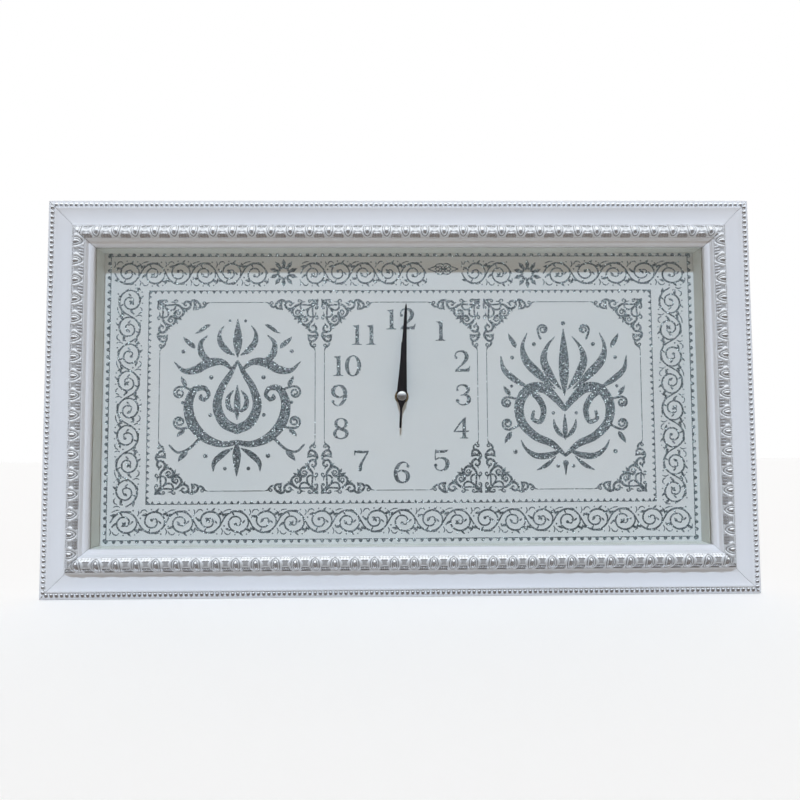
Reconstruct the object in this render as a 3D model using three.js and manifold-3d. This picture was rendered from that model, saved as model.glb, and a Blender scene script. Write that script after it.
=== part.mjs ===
// Wall clock: a mitred white and silver frame with a deep glazed recess, a printed
// canvas dial on a board, and a battery quartz movement behind the board.
//
// Millimetres, +Z up. The face looks along -Y and the wall is the plane y = 0.
// The origin is on the wall plane, at the middle of the flat land on the back of the
// top rail. Depths named "d" are measured forward from the wall, so y = -d.

import * as THREE from "three";
import { mergeVertices } from "three/addons/utils/BufferGeometryUtils.js";
import Module from "manifold-3d";

const wasm = await Module();
wasm.setup();

// ---------------------------------------------------------------- dimensions

const GAP = 0.3; // clearance between neighbouring pieces

// frame
const OPEN_W = 617; // clear opening inside the lip, across
const OPEN_H = 301; // clear opening inside the lip, up
const RAIL_W = 49.5; // moulding width, lip edge to outer edge
const RABBET = 6.5; // width of the rabbet under the lip
const RELIEF_D = 4.0; // depth of the relieved inner part of the rail's back
const LAND_U = 37.0; // the relieved part ends here, and the flat outer land begins
const LAND_MID = (LAND_U + RAIL_W) / 2;
const CENTRE_DROP = OPEN_H / 2 + LAND_MID; // from the origin down to the dial centre

// stack behind the glass, as depths from the wall
const BOARD_D = [18.8, 21.8];
const CANVAS_D = [22.1, 22.6];
const ART_D = CANVAS_D[1];
const RECESS = 25.8; // lip edge plane to dial face
const LIP_D = ART_D + RECESS;
const LIP_T = 4.0;
const GLASS_D = [LIP_D - LIP_T - GAP - 2.0, LIP_D - LIP_T - GAP];
const SPACER_D = [ART_D + GAP, GLASS_D[0] - GAP];
const SHEET_OUT = RABBET - GAP; // sheets reach this far past the lip edge

// hardware in the back
const WEDGE_U = 43.0;
const WEDGE_LEG = 8.0;
const WEDGE_T = 0.8;
const WEDGE_DEPTH = 10.0;
const TAB_D = [17.9, 18.5];
const TAB_W = 8.0;
const TAB_IN = 5.0; // over the board, past the lip edge
const TAB_DRIVEN = 6.0; // into the rabbet wall
const HANGER_X = 240;
const RING_U = 23.0; // pivot of the ring, from the lip edge outwards
const RING_D = 1.9;
const RING_WIRE = 0.8; // wire radius
const RING_HALF = 8.0; // half width between wire centres
const RING_TALL = 12.0; // pivot to the middle of the bow's wire
const STRAP_W = 11.0;
const STRAP_T = 0.7;
const SCREW_U = 16.5;

// movement
const CASE = 56; // square case
const CASE_D = [0.8, 17.2];
const CASE_WALL = 1.2;
const CASE_FLOOR = 0.9;
const BAY_Z = -19.2; // battery axis below the shaft
const BATTERY_R = 7.25;
const BATTERY_D = 8.7;
const WHEEL_T = 0.8;
const LAYER = { fifth: 4.9, second: 6.0, third: 7.5, centre: 9.2, minute: 11.0, hour: 13.2 };
const M_WORK = 0.475; // module of the motion work
const TEETH = {
  cannon: 10, minuteWheel: 30, minutePinion: 8, hour: 32,
  secondPinion: 8, third: 60, thirdPinion: 8, centre: 64,
  second: 60, fifthPinion: 10, fifth: 40, rotor: 8,
};
const A_WORK = (M_WORK * (TEETH.cannon + TEETH.minuteWheel)) / 2; // 9.5
const A_THIRD = 9.36;
const M_CENTRE = (2 * A_THIRD) / (TEETH.centre + TEETH.thirdPinion);
const M_THIRD = (2 * A_THIRD) / (TEETH.third + TEETH.secondPinion);
const A_FIFTH = 9.45;
const M_SECOND = (2 * A_FIFTH) / (TEETH.second + TEETH.fifthPinion);
const A_ROTOR = 6.0;
const M_FIFTH = (2 * A_ROTOR) / (TEETH.fifth + TEETH.rotor);
const ANG_MINUTE = Math.PI / 6;
const ANG_THIRD = (150 * Math.PI) / 180;
const ANG_FIFTH = Math.PI / 2;
const ANG_ROTOR = (60 * Math.PI) / 180;
const WELL_R = 5.4; // well of the setting knob
const WELL_FLOOR = [3.5, 4.3];

// shaft stack, radii
const R_SECOND = 0.45;
const R_MINUTE = [0.8, 1.5];
const R_HOUR = [1.85, 2.5];
const R_BUSH = [2.85, 3.95];

// hands
const HOUR_LEN = 56;
const MINUTE_LEN = 96;
const MINUTE_TAIL = 33;
const HAND_W = 10.5;
const HAND_T = 0.5;
const HOUR_HAND_D = ART_D + 5.0;
const MINUTE_HAND_D = ART_D + 8.4;
const MINUTE_LEAN = -3; // degrees, shown just past twelve
const HOUR_LEAN = -0.25;

// ---------------------------------------------------------------- geometry helpers

// One welded closed mesh with its faces out, position only.
function weld(geometry) {
  const bare = geometry.clone();
  for (const name of Object.keys(bare.attributes)) if (name !== "position") bare.deleteAttribute(name);
  const merged = mergeVertices(bare, 1e-4);
  const from = merged.index.array;
  const p = merged.attributes.position;
  const tris = [];
  let volume = 0;
  for (let i = 0; i < from.length; i += 3) {
    const [a, b, c] = [from[i], from[i + 1], from[i + 2]];
    if (a === b || b === c || a === c) continue;
    tris.push(a, b, c);
    volume +=
      p.getX(a) * (p.getY(b) * p.getZ(c) - p.getZ(b) * p.getY(c)) -
      p.getY(a) * (p.getX(b) * p.getZ(c) - p.getZ(b) * p.getX(c)) +
      p.getZ(a) * (p.getX(b) * p.getY(c) - p.getY(b) * p.getX(c));
  }
  if (volume < 0) for (let i = 0; i < tris.length; i += 3) [tris[i + 1], tris[i + 2]] = [tris[i + 2], tris[i + 1]];
  merged.setIndex(tris);
  return merged;
}

function solid(geometry) {
  const g = weld(geometry);
  return new wasm.Manifold(
    new wasm.Mesh({
      numProp: 3,
      vertProperties: new Float32Array(g.attributes.position.array),
      triVerts: new Uint32Array(g.index.array),
    }),
  );
}

function shell(manifold) {
  const mesh = manifold.getMesh();
  const g = new THREE.BufferGeometry();
  const n = mesh.numProp;
  const count = mesh.vertProperties.length / n;
  const p = new Float32Array(count * 3);
  for (let i = 0; i < count; i++) for (let k = 0; k < 3; k++) p[3 * i + k] = mesh.vertProperties[n * i + k];
  g.setAttribute("position", new THREE.BufferAttribute(p, 3));
  g.setIndex(Array.from(mesh.triVerts));
  return weld(g);
}

const join = (...parts) => parts.reduce((a, b) => a.add(b));
const carve = (body, ...cuts) => cuts.reduce((a, b) => a.subtract(b), body);

// Box between two x, two depths and two z.
function box(x0, x1, d0, d1, z0, z1) {
  return solid(new THREE.BoxGeometry(x1 - x0, d1 - d0, z1 - z0).translate((x0 + x1) / 2, -(d0 + d1) / 2, (z0 + z1) / 2));
}

// Round bar along the depth.
function bar(r, d0, d1, sides = 16, x = 0, z = 0) {
  return solid(new THREE.CylinderGeometry(r, r, d1 - d0, sides).translate(x, -(d0 + d1) / 2, z));
}

// Turned piece about the depth axis, from [radius, depth] points.
function turned(points, sides = 24, x = 0, z = 0) {
  return solid(
    new THREE.LatheGeometry(points.map(([r, d]) => new THREE.Vector2(r, -d)), sides).translate(x, 0, z),
  );
}

function tube(rIn, rOut, d0, d1, sides = 24, x = 0, z = 0) {
  return turned([[rOut, d0], [rOut, d1], [rIn, d1], [rIn, d0], [rOut, d0]], sides, x, z);
}

// Plate with an [x, z] outline between two depths.
function plate(outline, d0, d1, holes = []) {
  const shape = new THREE.Shape(outline.map(([x, z]) => new THREE.Vector2(x, z)));
  for (const hole of holes) shape.holes.push(new THREE.Path(hole.map(([x, z]) => new THREE.Vector2(x, z))));
  return solid(
    new THREE.ExtrudeGeometry(shape, { depth: d1 - d0, bevelEnabled: false }).translate(0, 0, d0).rotateX(Math.PI / 2),
  );
}

function circle(r, n, x = 0, z = 0) {
  return Array.from({ length: n }, (_, i) => [x + r * Math.cos((2 * Math.PI * i) / n), z + r * Math.sin((2 * Math.PI * i) / n)]);
}

const rect = (x0, x1, z0, z1) => [[x0, z0], [x1, z0], [x1, z1], [x0, z1]];

// Involute gear outline. phase is the angle of one tooth's middle.
function gear(teeth, module, phase, fine = false, x = 0, z = 0) {
  const pressure = (22 * Math.PI) / 180;
  const pitch = (teeth * module) / 2;
  const base = pitch * Math.cos(pressure);
  const tip = pitch + 0.8 * module;
  const root = pitch - 1.05 * module;
  const thick = (Math.PI * module) / 2 - 0.3 * module;
  const inv = (a) => Math.tan(a) - a;
  const half = (r) => {
    const at = Math.max(r, base);
    return thick / (2 * pitch) + inv(pressure) - inv(Math.acos(Math.min(1, base / at)));
  };
  const radii = fine ? [root, Math.max(base, root + 0.05), pitch, tip] : [root, tip];
  const points = [];
  for (let k = 0; k < teeth; k++) {
    const mid = phase + (2 * Math.PI * k) / teeth;
    for (const r of radii) points.push([x + r * Math.cos(mid - half(r)), z + r * Math.sin(mid - half(r))]);
    for (const r of [...radii].reverse()) points.push([x + r * Math.cos(mid + half(r)), z + r * Math.sin(mid + half(r))]);
  }
  return points;
}

// Phase of a gear that meshes with another one, which has a tooth at phase1. The
// direction runs from the first gear's axis to the second one's.
function meshing(teeth1, phase1, direction, teeth2) {
  const f1 = ((direction - phase1) * teeth1) / (2 * Math.PI);
  return direction + Math.PI - ((0.5 - f1) * 2 * Math.PI) / teeth2;
}

// ---------------------------------------------------------------- materials

function finish(hex, roughness, metalness = 0) {
  return new THREE.MeshStandardMaterial({ color: hex, roughness, metalness });
}
const WHITE = finish(0xe9edf2, 0.35);
const SPACER_WHITE = finish(0xd8dad8, 0.7);
const CLEAR = finish(0xdfe8ea, 0.05);
const PRINT = finish(0xd4d8da, 0.75);
const BOARD = finish(0x8a6a48, 0.8);
const STEEL = finish(0xb4b7ba, 0.4, 1);
const BRASS = finish(0xb89a55, 0.35, 1);
const CHROME = finish(0xd9dcdf, 0.12, 1);
const BLACK_PAINT = finish(0x17141a, 0.35);
const CASE_BLACK = finish(0x1c1c1e, 0.5);
const RUBBER = finish(0x161616, 0.9);
const WHEEL_WHITE = finish(0xe8e4d8, 0.5);
const COPPER = finish(0xa5623a, 0.4, 1);
const GREEN = finish(0x2f6b45, 0.6);
const SLEEVE = finish(0x7a8088, 0.35);

const clock = new THREE.Group();
clock.name = "canvas_clock";
const body = new THREE.Group(); // everything is drawn about the dial centre
body.position.set(0, 0, -CENTRE_DROP);
clock.add(body);

function place(parent, name, shape, material) {
  const mesh = new THREE.Mesh(shell(shape), material);
  mesh.name = name;
  parent.add(mesh);
  return mesh;
}

// ---------------------------------------------------------------- frame rails

// Section of the moulding as [u, d]: u runs outwards from the lip edge.
const SECTION = [
  [RABBET, LIP_D - LIP_T], [0, LIP_D - LIP_T], [0, LIP_D - 0.4], [0.9, LIP_D + 1.2], [2.6, LIP_D + 2.7],
  [4.2, LIP_D + 3.2], [4.6, LIP_D + 3.0], [5.4, LIP_D + 5.0], [7.0, LIP_D + 7.6],
  [7.8, LIP_D + 9.8], [9.6, LIP_D + 11.7], [12.0, LIP_D + 12.7], [14.6, LIP_D + 12.6], [17.0, LIP_D + 11.2],
  [19.2, LIP_D + 8.4], [21.0, LIP_D + 4.6], [22.3, LIP_D + 0.2],
  [23.4, LIP_D - 2.0], [24.8, LIP_D - 3.3], [27.6, LIP_D - 4.1], [31.6, LIP_D - 4.4], [35.6, LIP_D - 4.2],
  [38.6, LIP_D - 3.6], [40.6, LIP_D - 2.8], [42.2, LIP_D - 2.8], [42.4, LIP_D - 4.4],
  [43.4, LIP_D - 3.0], [44.8, LIP_D - 2.5], [46.2, LIP_D - 3.0], [47.2, LIP_D - 4.4],
  [47.5, LIP_D - 5.2], [49.0, LIP_D - 5.4], [RAIL_W, LIP_D - 6.0],
  [RAIL_W, 0], [LAND_U, 0], [LAND_U, RELIEF_D], [RABBET, RELIEF_D],
];

// A rail in the place of the top one. half is half of the opening along the rail, and
// reach is the opening's half across it. Both ends are mitred.
function rail(half, reach) {
  const shape = new THREE.Shape(SECTION.map(([u, d]) => new THREE.Vector2(u, d)));
  const g = new THREE.ExtrudeGeometry(shape, { depth: 2, bevelEnabled: false, steps: 1 });
  const p = g.attributes.position;
  const mitre = (GAP / 2) * Math.SQRT2;
  for (let i = 0; i < p.count; i++) {
    const [u, d, t] = [p.getX(i), p.getY(i), p.getZ(i) - 1];
    p.setXYZ(i, t * (half + u - mitre), -d, reach + u);
  }
  return solid(g);
}

// Room for a wedge's two legs at one mitred end.
function wedgeLegs(half, reach, side, room) {
  const x = half + WEDGE_U;
  const z = reach + WEDGE_U;
  const t = WEDGE_T / 2 + room;
  const along = [side * (x - WEDGE_LEG - room), side * (x + t)].sort((a, b) => a - b);
  const across = [side * (x - t), side * (x + t)].sort((a, b) => a - b);
  const d0 = room ? -1 : GAP;
  return join(
    box(along[0], along[1], d0, WEDGE_DEPTH + room, z - t, z + t),
    box(across[0], across[1], d0, WEDGE_DEPTH + room, z - WEDGE_LEG - room, z + t),
  );
}

function tabOutline(room) {
  const w = TAB_W / 2 + room;
  const tip = TAB_DRIVEN + room;
  return [[-w, -TAB_IN], [w, -TAB_IN], [w, RABBET + tip - 2.5], [1.2, RABBET + tip], [-1.2, RABBET + tip], [-w, RABBET + tip - 2.5]];
}

const halfW = OPEN_W / 2;
const halfH = OPEN_H / 2;
const SIDES = [
  { name: "top", half: halfW, reach: halfH, turn: 0, tabs: [-200, 0, 200], hangers: [-HANGER_X, HANGER_X] },
  { name: "right", half: halfH, reach: halfW, turn: Math.PI / 2, tabs: [0], hangers: [] },
  { name: "bottom", half: halfW, reach: halfH, turn: Math.PI, tabs: [-200, 0, 200], hangers: [] },
  { name: "left", half: halfH, reach: halfW, turn: -Math.PI / 2, tabs: [0], hangers: [] },
];

let tabNumber = 0;
for (const side of SIDES) {
  const turn = new THREE.Group();
  turn.rotation.y = side.turn;
  body.add(turn);
  let profile = rail(side.half, side.reach);
  for (const end of [-1, 1]) profile = profile.subtract(wedgeLegs(side.half, side.reach, end, GAP));
  for (const x of side.tabs) {
    const slot = plate(tabOutline(GAP).map(([a, b]) => [x + a, side.reach + b]), TAB_D[0] - GAP, TAB_D[1] + GAP);
    profile = profile.subtract(slot);
  }
  for (const x of side.hangers) profile = profile.subtract(bar(1.8, 2, 16.3, 12, x, side.reach + SCREW_U));
  place(turn, `frame_rail_${side.name}`, profile, WHITE);
  for (const x of side.tabs) {
    tabNumber += 1;
    place(turn, `retaining_tab_${tabNumber}`, plate(tabOutline(0).map(([a, b]) => [x + a, side.reach + b]), TAB_D[0], TAB_D[1]), STEEL);
  }
}
for (const [name, turn, half, reach] of [
  ["tr", 0, halfW, halfH], ["br", Math.PI / 2, halfH, halfW], ["bl", Math.PI, halfW, halfH], ["tl", -Math.PI / 2, halfH, halfW],
]) {
  const corner = new THREE.Group();
  corner.rotation.y = turn;
  body.add(corner);
  place(corner, `corner_wedge_${name}`, wedgeLegs(half, reach, 1, 0), STEEL);
}

// ---------------------------------------------------------------- glazing and dial

const outW = halfW + SHEET_OUT;
const outH = halfH + SHEET_OUT;
place(body, "glass_pane", box(-outW, outW, GLASS_D[0], GLASS_D[1], -outH, outH), CLEAR);
place(body, "canvas_print", plate(rect(-outW, outW, -outH, outH), CANVAS_D[0], CANVAS_D[1], [circle(4.25, 20)]), PRINT);
place(body, "dial_board", plate(rect(-outW, outW, -outH, outH), BOARD_D[0], BOARD_D[1], [circle(4.25, 20)]), BOARD);
place(body, "spacer_top", box(-outW, outW, ...SPACER_D, halfH + 0.2, outH), SPACER_WHITE);
place(body, "spacer_bottom", box(-outW, outW, ...SPACER_D, -outH, -halfH - 0.2), SPACER_WHITE);
place(body, "spacer_left", box(-outW, -halfW - 0.2, ...SPACER_D, -halfH - 0.2 + GAP, halfH + 0.2 - GAP), SPACER_WHITE);
place(body, "spacer_right", box(halfW + 0.2, outW, ...SPACER_D, -halfH - 0.2 + GAP, halfH + 0.2 - GAP), SPACER_WHITE);

// ---------------------------------------------------------------- hangers

// The strap lies on the relieved back and curls round the ring's straight bar.
function strapSection() {
  const outer = 1.8;
  const inner = outer - STRAP_T;
  const points = [[7.9, RING_D + inner], [7.9, RING_D + outer]];
  const steps = 12;
  // the curl goes round from the underside, over the far side, to the wall side
  for (let i = 0; i <= steps; i++) {
    const a = Math.PI / 2 - (1.5 * Math.PI * i) / steps;
    points.push([RING_U + outer * Math.cos(a), RING_D + outer * Math.sin(a)]);
  }
  for (let i = steps; i >= 0; i--) {
    const a = Math.PI / 2 - (1.5 * Math.PI * i) / steps;
    points.push([RING_U + inner * Math.cos(a), RING_D + inner * Math.sin(a)]);
  }
  return points;
}

for (const [name, x] of [["left", -HANGER_X], ["right", HANGER_X]]) {
  const hanger = new THREE.Group();
  hanger.position.set(x, 0, halfH);
  body.add(hanger);
  const section = new THREE.Shape(strapSection().map(([u, d]) => new THREE.Vector2(u, d)));
  const g = new THREE.ExtrudeGeometry(section, { depth: STRAP_W, bevelEnabled: false, steps: 1 });
  const p = g.attributes.position;
  for (let i = 0; i < p.count; i++) p.setXYZ(i, p.getZ(i) - STRAP_W / 2, -p.getY(i), p.getX(i));
  place(hanger, `hanger_strap_${name}`, carve(solid(g), bar(1.8, 2.5, 4.2, 12, 0, SCREW_U)), STEEL);
  place(
    hanger,
    `hanger_screw_${name}`,
    turned([[0, 0.9], [1.6, 1.0], [2.6, 1.5], [3.0, 2.2], [3.0, 2.7], [1.5, 2.7], [1.5, 13.5], [0, 16.0]], 16, 0, SCREW_U),
    STEEL,
  );
  // D-ring: bent wire, its ends meeting in the middle of the bar
  const way = [];
  const rise = RING_TALL - RING_HALF;
  way.push([-0.2, 0], [-4, 0], [-RING_HALF + 1.4, 0], [-RING_HALF + 0.35, 0.4], [-RING_HALF, 1.5], [-RING_HALF, rise]);
  for (let i = 1; i < 8; i++) {
    const a = Math.PI - (Math.PI * i) / 8;
    way.push([RING_HALF * Math.cos(a), rise + RING_HALF * Math.sin(a)]);
  }
  way.push([RING_HALF, rise], [RING_HALF, 1.5], [RING_HALF - 0.35, 0.4], [RING_HALF - 1.4, 0], [4, 0], [0.2, 0]);
  const path = new THREE.CatmullRomCurve3(way.map(([a, b]) => new THREE.Vector3(a, 0, b)), false, "centripetal");
  const wire = new THREE.Shape(circle(RING_WIRE, 8).map(([a, b]) => new THREE.Vector2(a, b)));
  const ring = place(hanger, `hanger_ring_${name}`, solid(new THREE.ExtrudeGeometry(wire, { steps: 34, extrudePath: path })), STEEL);
  ring.position.set(0, -RING_D, RING_U);
}

// ---------------------------------------------------------------- movement case

const movement = new THREE.Group();
body.add(movement);
const c = CASE / 2;
const at = (r, a, from = [0, 0]) => [from[0] + r * Math.cos(a), from[1] + r * Math.sin(a)];
const P_MINUTE = at(A_WORK, ANG_MINUTE);
const P_THIRD = at(A_THIRD, ANG_THIRD);
const P_FIFTH = at(A_FIFTH, ANG_FIFTH);
const P_ROTOR = at(A_ROTOR, ANG_ROTOR, P_FIFTH);
const floorD = CASE_D[1] - CASE_FLOOR;
const inner = c - CASE_WALL;
const bayTop = BAY_Z + BATTERY_R + 0.35;
const partition = bayTop + 1.0;

let front = box(-c, c, CASE_D[0], CASE_D[1], -c, c);
front = carve(
  front,
  box(-inner, inner, -1, floorD, partition, inner), // train
  box(-inner - 0.5, inner + 0.5, -1, 2.1, partition, inner + 0.5), // seat of the rear cover
  box(-inner, inner, -1, floorD, -inner, bayTop), // battery bay
  box(-c - 1, -c + 4, -1, 2.1, 4, 12), // notches for the cover's ears
  box(c - 4, c + 1, -1, 2.1, 4, 12),
  bar(R_BUSH[1] + GAP, 10, 20, 20),
);
for (const [x, z] of [P_MINUTE, P_THIRD, P_FIFTH, P_ROTOR]) {
  front = front.add(bar(1.5, 15.1, floorD + 0.1, 12, x, z)).subtract(bar(x === P_MINUTE[0] ? 0.8 : 0.7, 14, 16.1, 8, x, z));
}
place(movement, "movement_front_case", front, CASE_BLACK);

let cover = join(
  box(-inner - 0.2, inner + 0.2, CASE_D[0], 1.8, partition + GAP, inner + 0.2),
  box(-c + 0.1, -inner + 1, CASE_D[0], 1.8, 4.3, 11.7),
  box(inner - 1, c - 0.1, CASE_D[0], 1.8, 4.3, 11.7),
  bar(WELL_R + 0.8, CASE_D[0], WELL_FLOOR[1], 28, ...P_MINUTE),
  bar(1.4, 1, 5.5, 12),
  bar(1.4, 1, 5.6, 12, ...P_THIRD),
  bar(1.4, 1, 4.5, 12, ...P_FIFTH),
  bar(1.4, 1, 4.5, 12, ...P_ROTOR),
);
cover = carve(
  cover,
  bar(WELL_R, -1, WELL_FLOOR[0], 28, ...P_MINUTE),
  bar(0.8, 0, 6, 10, ...P_MINUTE),
  bar(R_SECOND + GAP, 4.4, 7, 8),
  bar(0.7, 4.5, 7, 8, ...P_THIRD),
  bar(0.7, 3.4, 7, 8, ...P_FIFTH),
  bar(0.7, 3.4, 7, 8, ...P_ROTOR),
);
place(movement, "movement_rear_cover", cover, CASE_BLACK);

// Setting knob with a knurled rim, on the minute wheel's arbor.
const knobRim = [];
for (let i = 0; i < 20; i++) {
  const a = (2 * Math.PI * i) / 20;
  const half = (2 * Math.PI) / 20 / 2;
  knobRim.push([P_MINUTE[0] + 4.9 * Math.cos(a - half * 0.5), P_MINUTE[1] + 4.9 * Math.sin(a - half * 0.5)]);
  knobRim.push([P_MINUTE[0] + 4.9 * Math.cos(a + half * 0.5), P_MINUTE[1] + 4.9 * Math.sin(a + half * 0.5)]);
  knobRim.push([P_MINUTE[0] + 4.55 * Math.cos(a + half), P_MINUTE[1] + 4.55 * Math.sin(a + half)]);
}
place(
  movement,
  "set_knob",
  carve(plate(knobRim, 0.9, 3.2), bar(0.8, 1.7, 4, 10, ...P_MINUTE), box(P_MINUTE[0] - 3.4, P_MINUTE[0] + 3.4, 0, 1.4, P_MINUTE[1] - 0.45, P_MINUTE[1] + 0.45)),
  WHEEL_WHITE,
);

// Threaded bush, held behind the case floor by its flange.
place(
  movement,
  "threaded_bush",
  turned([[5.2, 15.0], [5.2, 16.0], [R_BUSH[1], 16.0], [R_BUSH[1], 26.7], [R_BUSH[1] - 0.4, 27.0], [R_BUSH[0], 27.0], [R_BUSH[0], 15.0], [5.2, 15.0]], 24),
  BRASS,
);
place(movement, "rubber_washer", tube(4.3, 9.0, 17.5, 18.5, 24), RUBBER);
place(movement, "brass_washer", tube(4.25, 7.25, ART_D + GAP, ART_D + 1.0, 32), BRASS);
const hex = Array.from({ length: 6 }, (_, i) => [6.5 * Math.cos((Math.PI / 3) * i), 6.5 * Math.sin((Math.PI / 3) * i)]);
place(movement, "hex_nut", plate(hex, ART_D + 1.3, ART_D + 3.4, [circle(4.25, 20)]), BRASS);

// ---------------------------------------------------------------- motion work

const gearPlate = (teeth, module, phase, d0, d1, [x, z] = [0, 0], fine = false) =>
  plate(gear(teeth, module, phase, fine, x, z), d0, d1);
const wheelSpan = (d) => [d, d + WHEEL_T];

place(
  movement,
  "minute_shaft",
  carve(
    join(tube(R_MINUTE[0], R_MINUTE[1], 8.9, 34.0, 16), gearPlate(TEETH.cannon, M_WORK, 0, 10.9, 11.95, [0, 0], true)),
    bar(R_MINUTE[0], 8, 35, 16),
  ),
  STEEL,
);
place(movement, "clutch_spring", tube(1.8, 3.6, 10.25, 10.6, 16), STEEL);
const phaseMinute = meshing(TEETH.cannon, 0, ANG_MINUTE, TEETH.minuteWheel);
place(
  movement,
  "minute_wheel",
  join(
    gearPlate(TEETH.minuteWheel, M_WORK, phaseMinute, ...wheelSpan(LAYER.minute), P_MINUTE),
    gearPlate(TEETH.minutePinion, M_WORK, ANG_MINUTE + Math.PI, LAYER.minute + WHEEL_T - 0.05, 14.3, P_MINUTE, true),
    bar(0.5, 2.1, 15.8, 8, ...P_MINUTE),
  ),
  WHEEL_WHITE,
);
const phaseHour = meshing(TEETH.minutePinion, ANG_MINUTE + Math.PI, ANG_MINUTE + Math.PI, TEETH.hour);
place(
  movement,
  "hour_wheel",
  carve(
    join(tube(R_HOUR[0], R_HOUR[1], 12.3, 28.6, 20), gearPlate(TEETH.hour, M_WORK, phaseHour, ...wheelSpan(LAYER.hour))),
    bar(R_HOUR[0], 12, 30, 20),
  ),
  WHEEL_WHITE,
);

// ---------------------------------------------------------------- going train

place(
  movement,
  "second_wheel",
  join(
    gearPlate(TEETH.second, M_SECOND, 0, ...wheelSpan(LAYER.second)),
    gearPlate(TEETH.secondPinion, M_THIRD, 0, LAYER.second + WHEEL_T - 0.05, 8.6, [0, 0], true),
    bar(R_SECOND, 4.7, 34.5, 8),
  ),
  WHEEL_WHITE,
);
const phaseThird = meshing(TEETH.secondPinion, 0, ANG_THIRD, TEETH.third);
place(
  movement,
  "third_wheel",
  join(
    gearPlate(TEETH.third, M_THIRD, phaseThird, ...wheelSpan(LAYER.third), P_THIRD),
    gearPlate(TEETH.thirdPinion, M_CENTRE, ANG_THIRD + Math.PI, LAYER.third + WHEEL_T - 0.05, 10.3, P_THIRD, true),
    bar(0.4, 4.8, 15.8, 8, ...P_THIRD),
  ),
  WHEEL_WHITE,
);
const phaseCentre = meshing(TEETH.thirdPinion, ANG_THIRD + Math.PI, ANG_THIRD + Math.PI, TEETH.centre);
place(movement, "centre_wheel", carve(gearPlate(TEETH.centre, M_CENTRE, phaseCentre, ...wheelSpan(LAYER.centre)), bar(1.8, 8, 11, 16)), BRASS);
const phaseFifthPinion = meshing(TEETH.second, 0, ANG_FIFTH, TEETH.fifthPinion);
place(
  movement,
  "fifth_wheel",
  join(
    gearPlate(TEETH.fifth, M_FIFTH, 0, LAYER.fifth, LAYER.fifth + 0.7, P_FIFTH),
    gearPlate(TEETH.fifthPinion, M_SECOND, phaseFifthPinion, LAYER.fifth + 0.65, 7.1, P_FIFTH, true),
    bar(0.4, 3.7, 15.8, 8, ...P_FIFTH),
  ),
  WHEEL_WHITE,
);
const phaseRotor = meshing(TEETH.fifth, 0, ANG_ROTOR, TEETH.rotor);
place(
  movement,
  "rotor",
  join(
    gearPlate(TEETH.rotor, M_FIFTH, phaseRotor, 4.8, 6.4, P_ROTOR, true),
    bar(2.2, 6.3, 8.9, 16, ...P_ROTOR),
    bar(0.35, 3.7, 15.8, 8, ...P_ROTOR),
  ),
  STEEL,
);

// ---------------------------------------------------------------- motor and circuit

const [rx, rz] = P_ROTOR;
place(
  movement,
  "stator",
  plate(
    [
      [-15.5, 26], [-15.5, 14.2], [rx - 4.4, 14.2], [rx - 3.9, 12.2], [rx - 2.2, 10.7], [rx, 10.3], [rx + 2.2, 10.7],
      [rx + 3.9, 12.2], [rx + 4.4, 14.2], [15.5, 14.2], [15.5, 26], [10.6, 26], [10.6, 18.7], [-10.6, 18.7], [-10.6, 26],
    ],
    7.0,
    8.0,
    [circle(2.6, 16, rx, rz)],
  ),
  STEEL,
);
function alongX(r, x0, x1, d, z, sides) {
  return solid(new THREE.CylinderGeometry(r, r, x1 - x0, sides).rotateZ(Math.PI / 2).translate((x0 + x1) / 2, -d, z));
}
place(
  movement,
  "coil",
  join(
    box(-15.2, 15.2, 8.3, 9.3, 20.6, 24.4),
    alongX(2.9, -9.4, 9.4, 8.8, 22.5, 16),
    box(-10.1, -9.3, 5.6, 12.0, 19.3, 25.7),
    box(9.3, 10.1, 5.6, 12.0, 19.3, 25.7),
  ),
  COPPER,
);
place(movement, "circuit_board", box(-26.3, -17.5, 13.0, 13.8, -6, 14), GREEN);
place(
  movement,
  "crystal",
  solid(new THREE.CylinderGeometry(1.0, 1.0, 6, 12).rotateX(Math.PI / 2).translate(-22, -11.6, 6)),
  STEEL,
);

// ---------------------------------------------------------------- battery and contacts

function turnedX(points, sides, d, z) {
  return solid(
    new THREE.LatheGeometry(points.map(([r, x]) => new THREE.Vector2(r, x)), sides).rotateZ(-Math.PI / 2).translate(0, -d, z),
  );
}
place(
  movement,
  "battery",
  turnedX([[0, -25.0], [6.6, -25.0], [BATTERY_R, -24.4], [BATTERY_R, 23.4], [6.6, 24.1], [2.75, 24.1], [2.75, 25.5], [0, 25.5]], 24, BATTERY_D, BAY_Z),
  SLEEVE,
);
place(
  movement,
  "contact_positive",
  join(box(26.0, 26.4, 3.0, 15.2, BAY_Z - 4.5, BAY_Z + 4.5), box(25.9, 26.1, 7.2, 10.2, BAY_Z - 1.5, BAY_Z + 1.5)),
  STEEL,
);
place(
  movement,
  "contact_negative",
  join(
    box(-26.4, -26.0, 3.0, 15.2, BAY_Z - 4.5, BAY_Z + 4.5),
    turnedX([[0, -26.1], [2.6, -26.1], [1.4, -25.4], [0, -25.4]], 12, BATTERY_D, BAY_Z),
  ),
  STEEL,
);

// ---------------------------------------------------------------- hands

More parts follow.
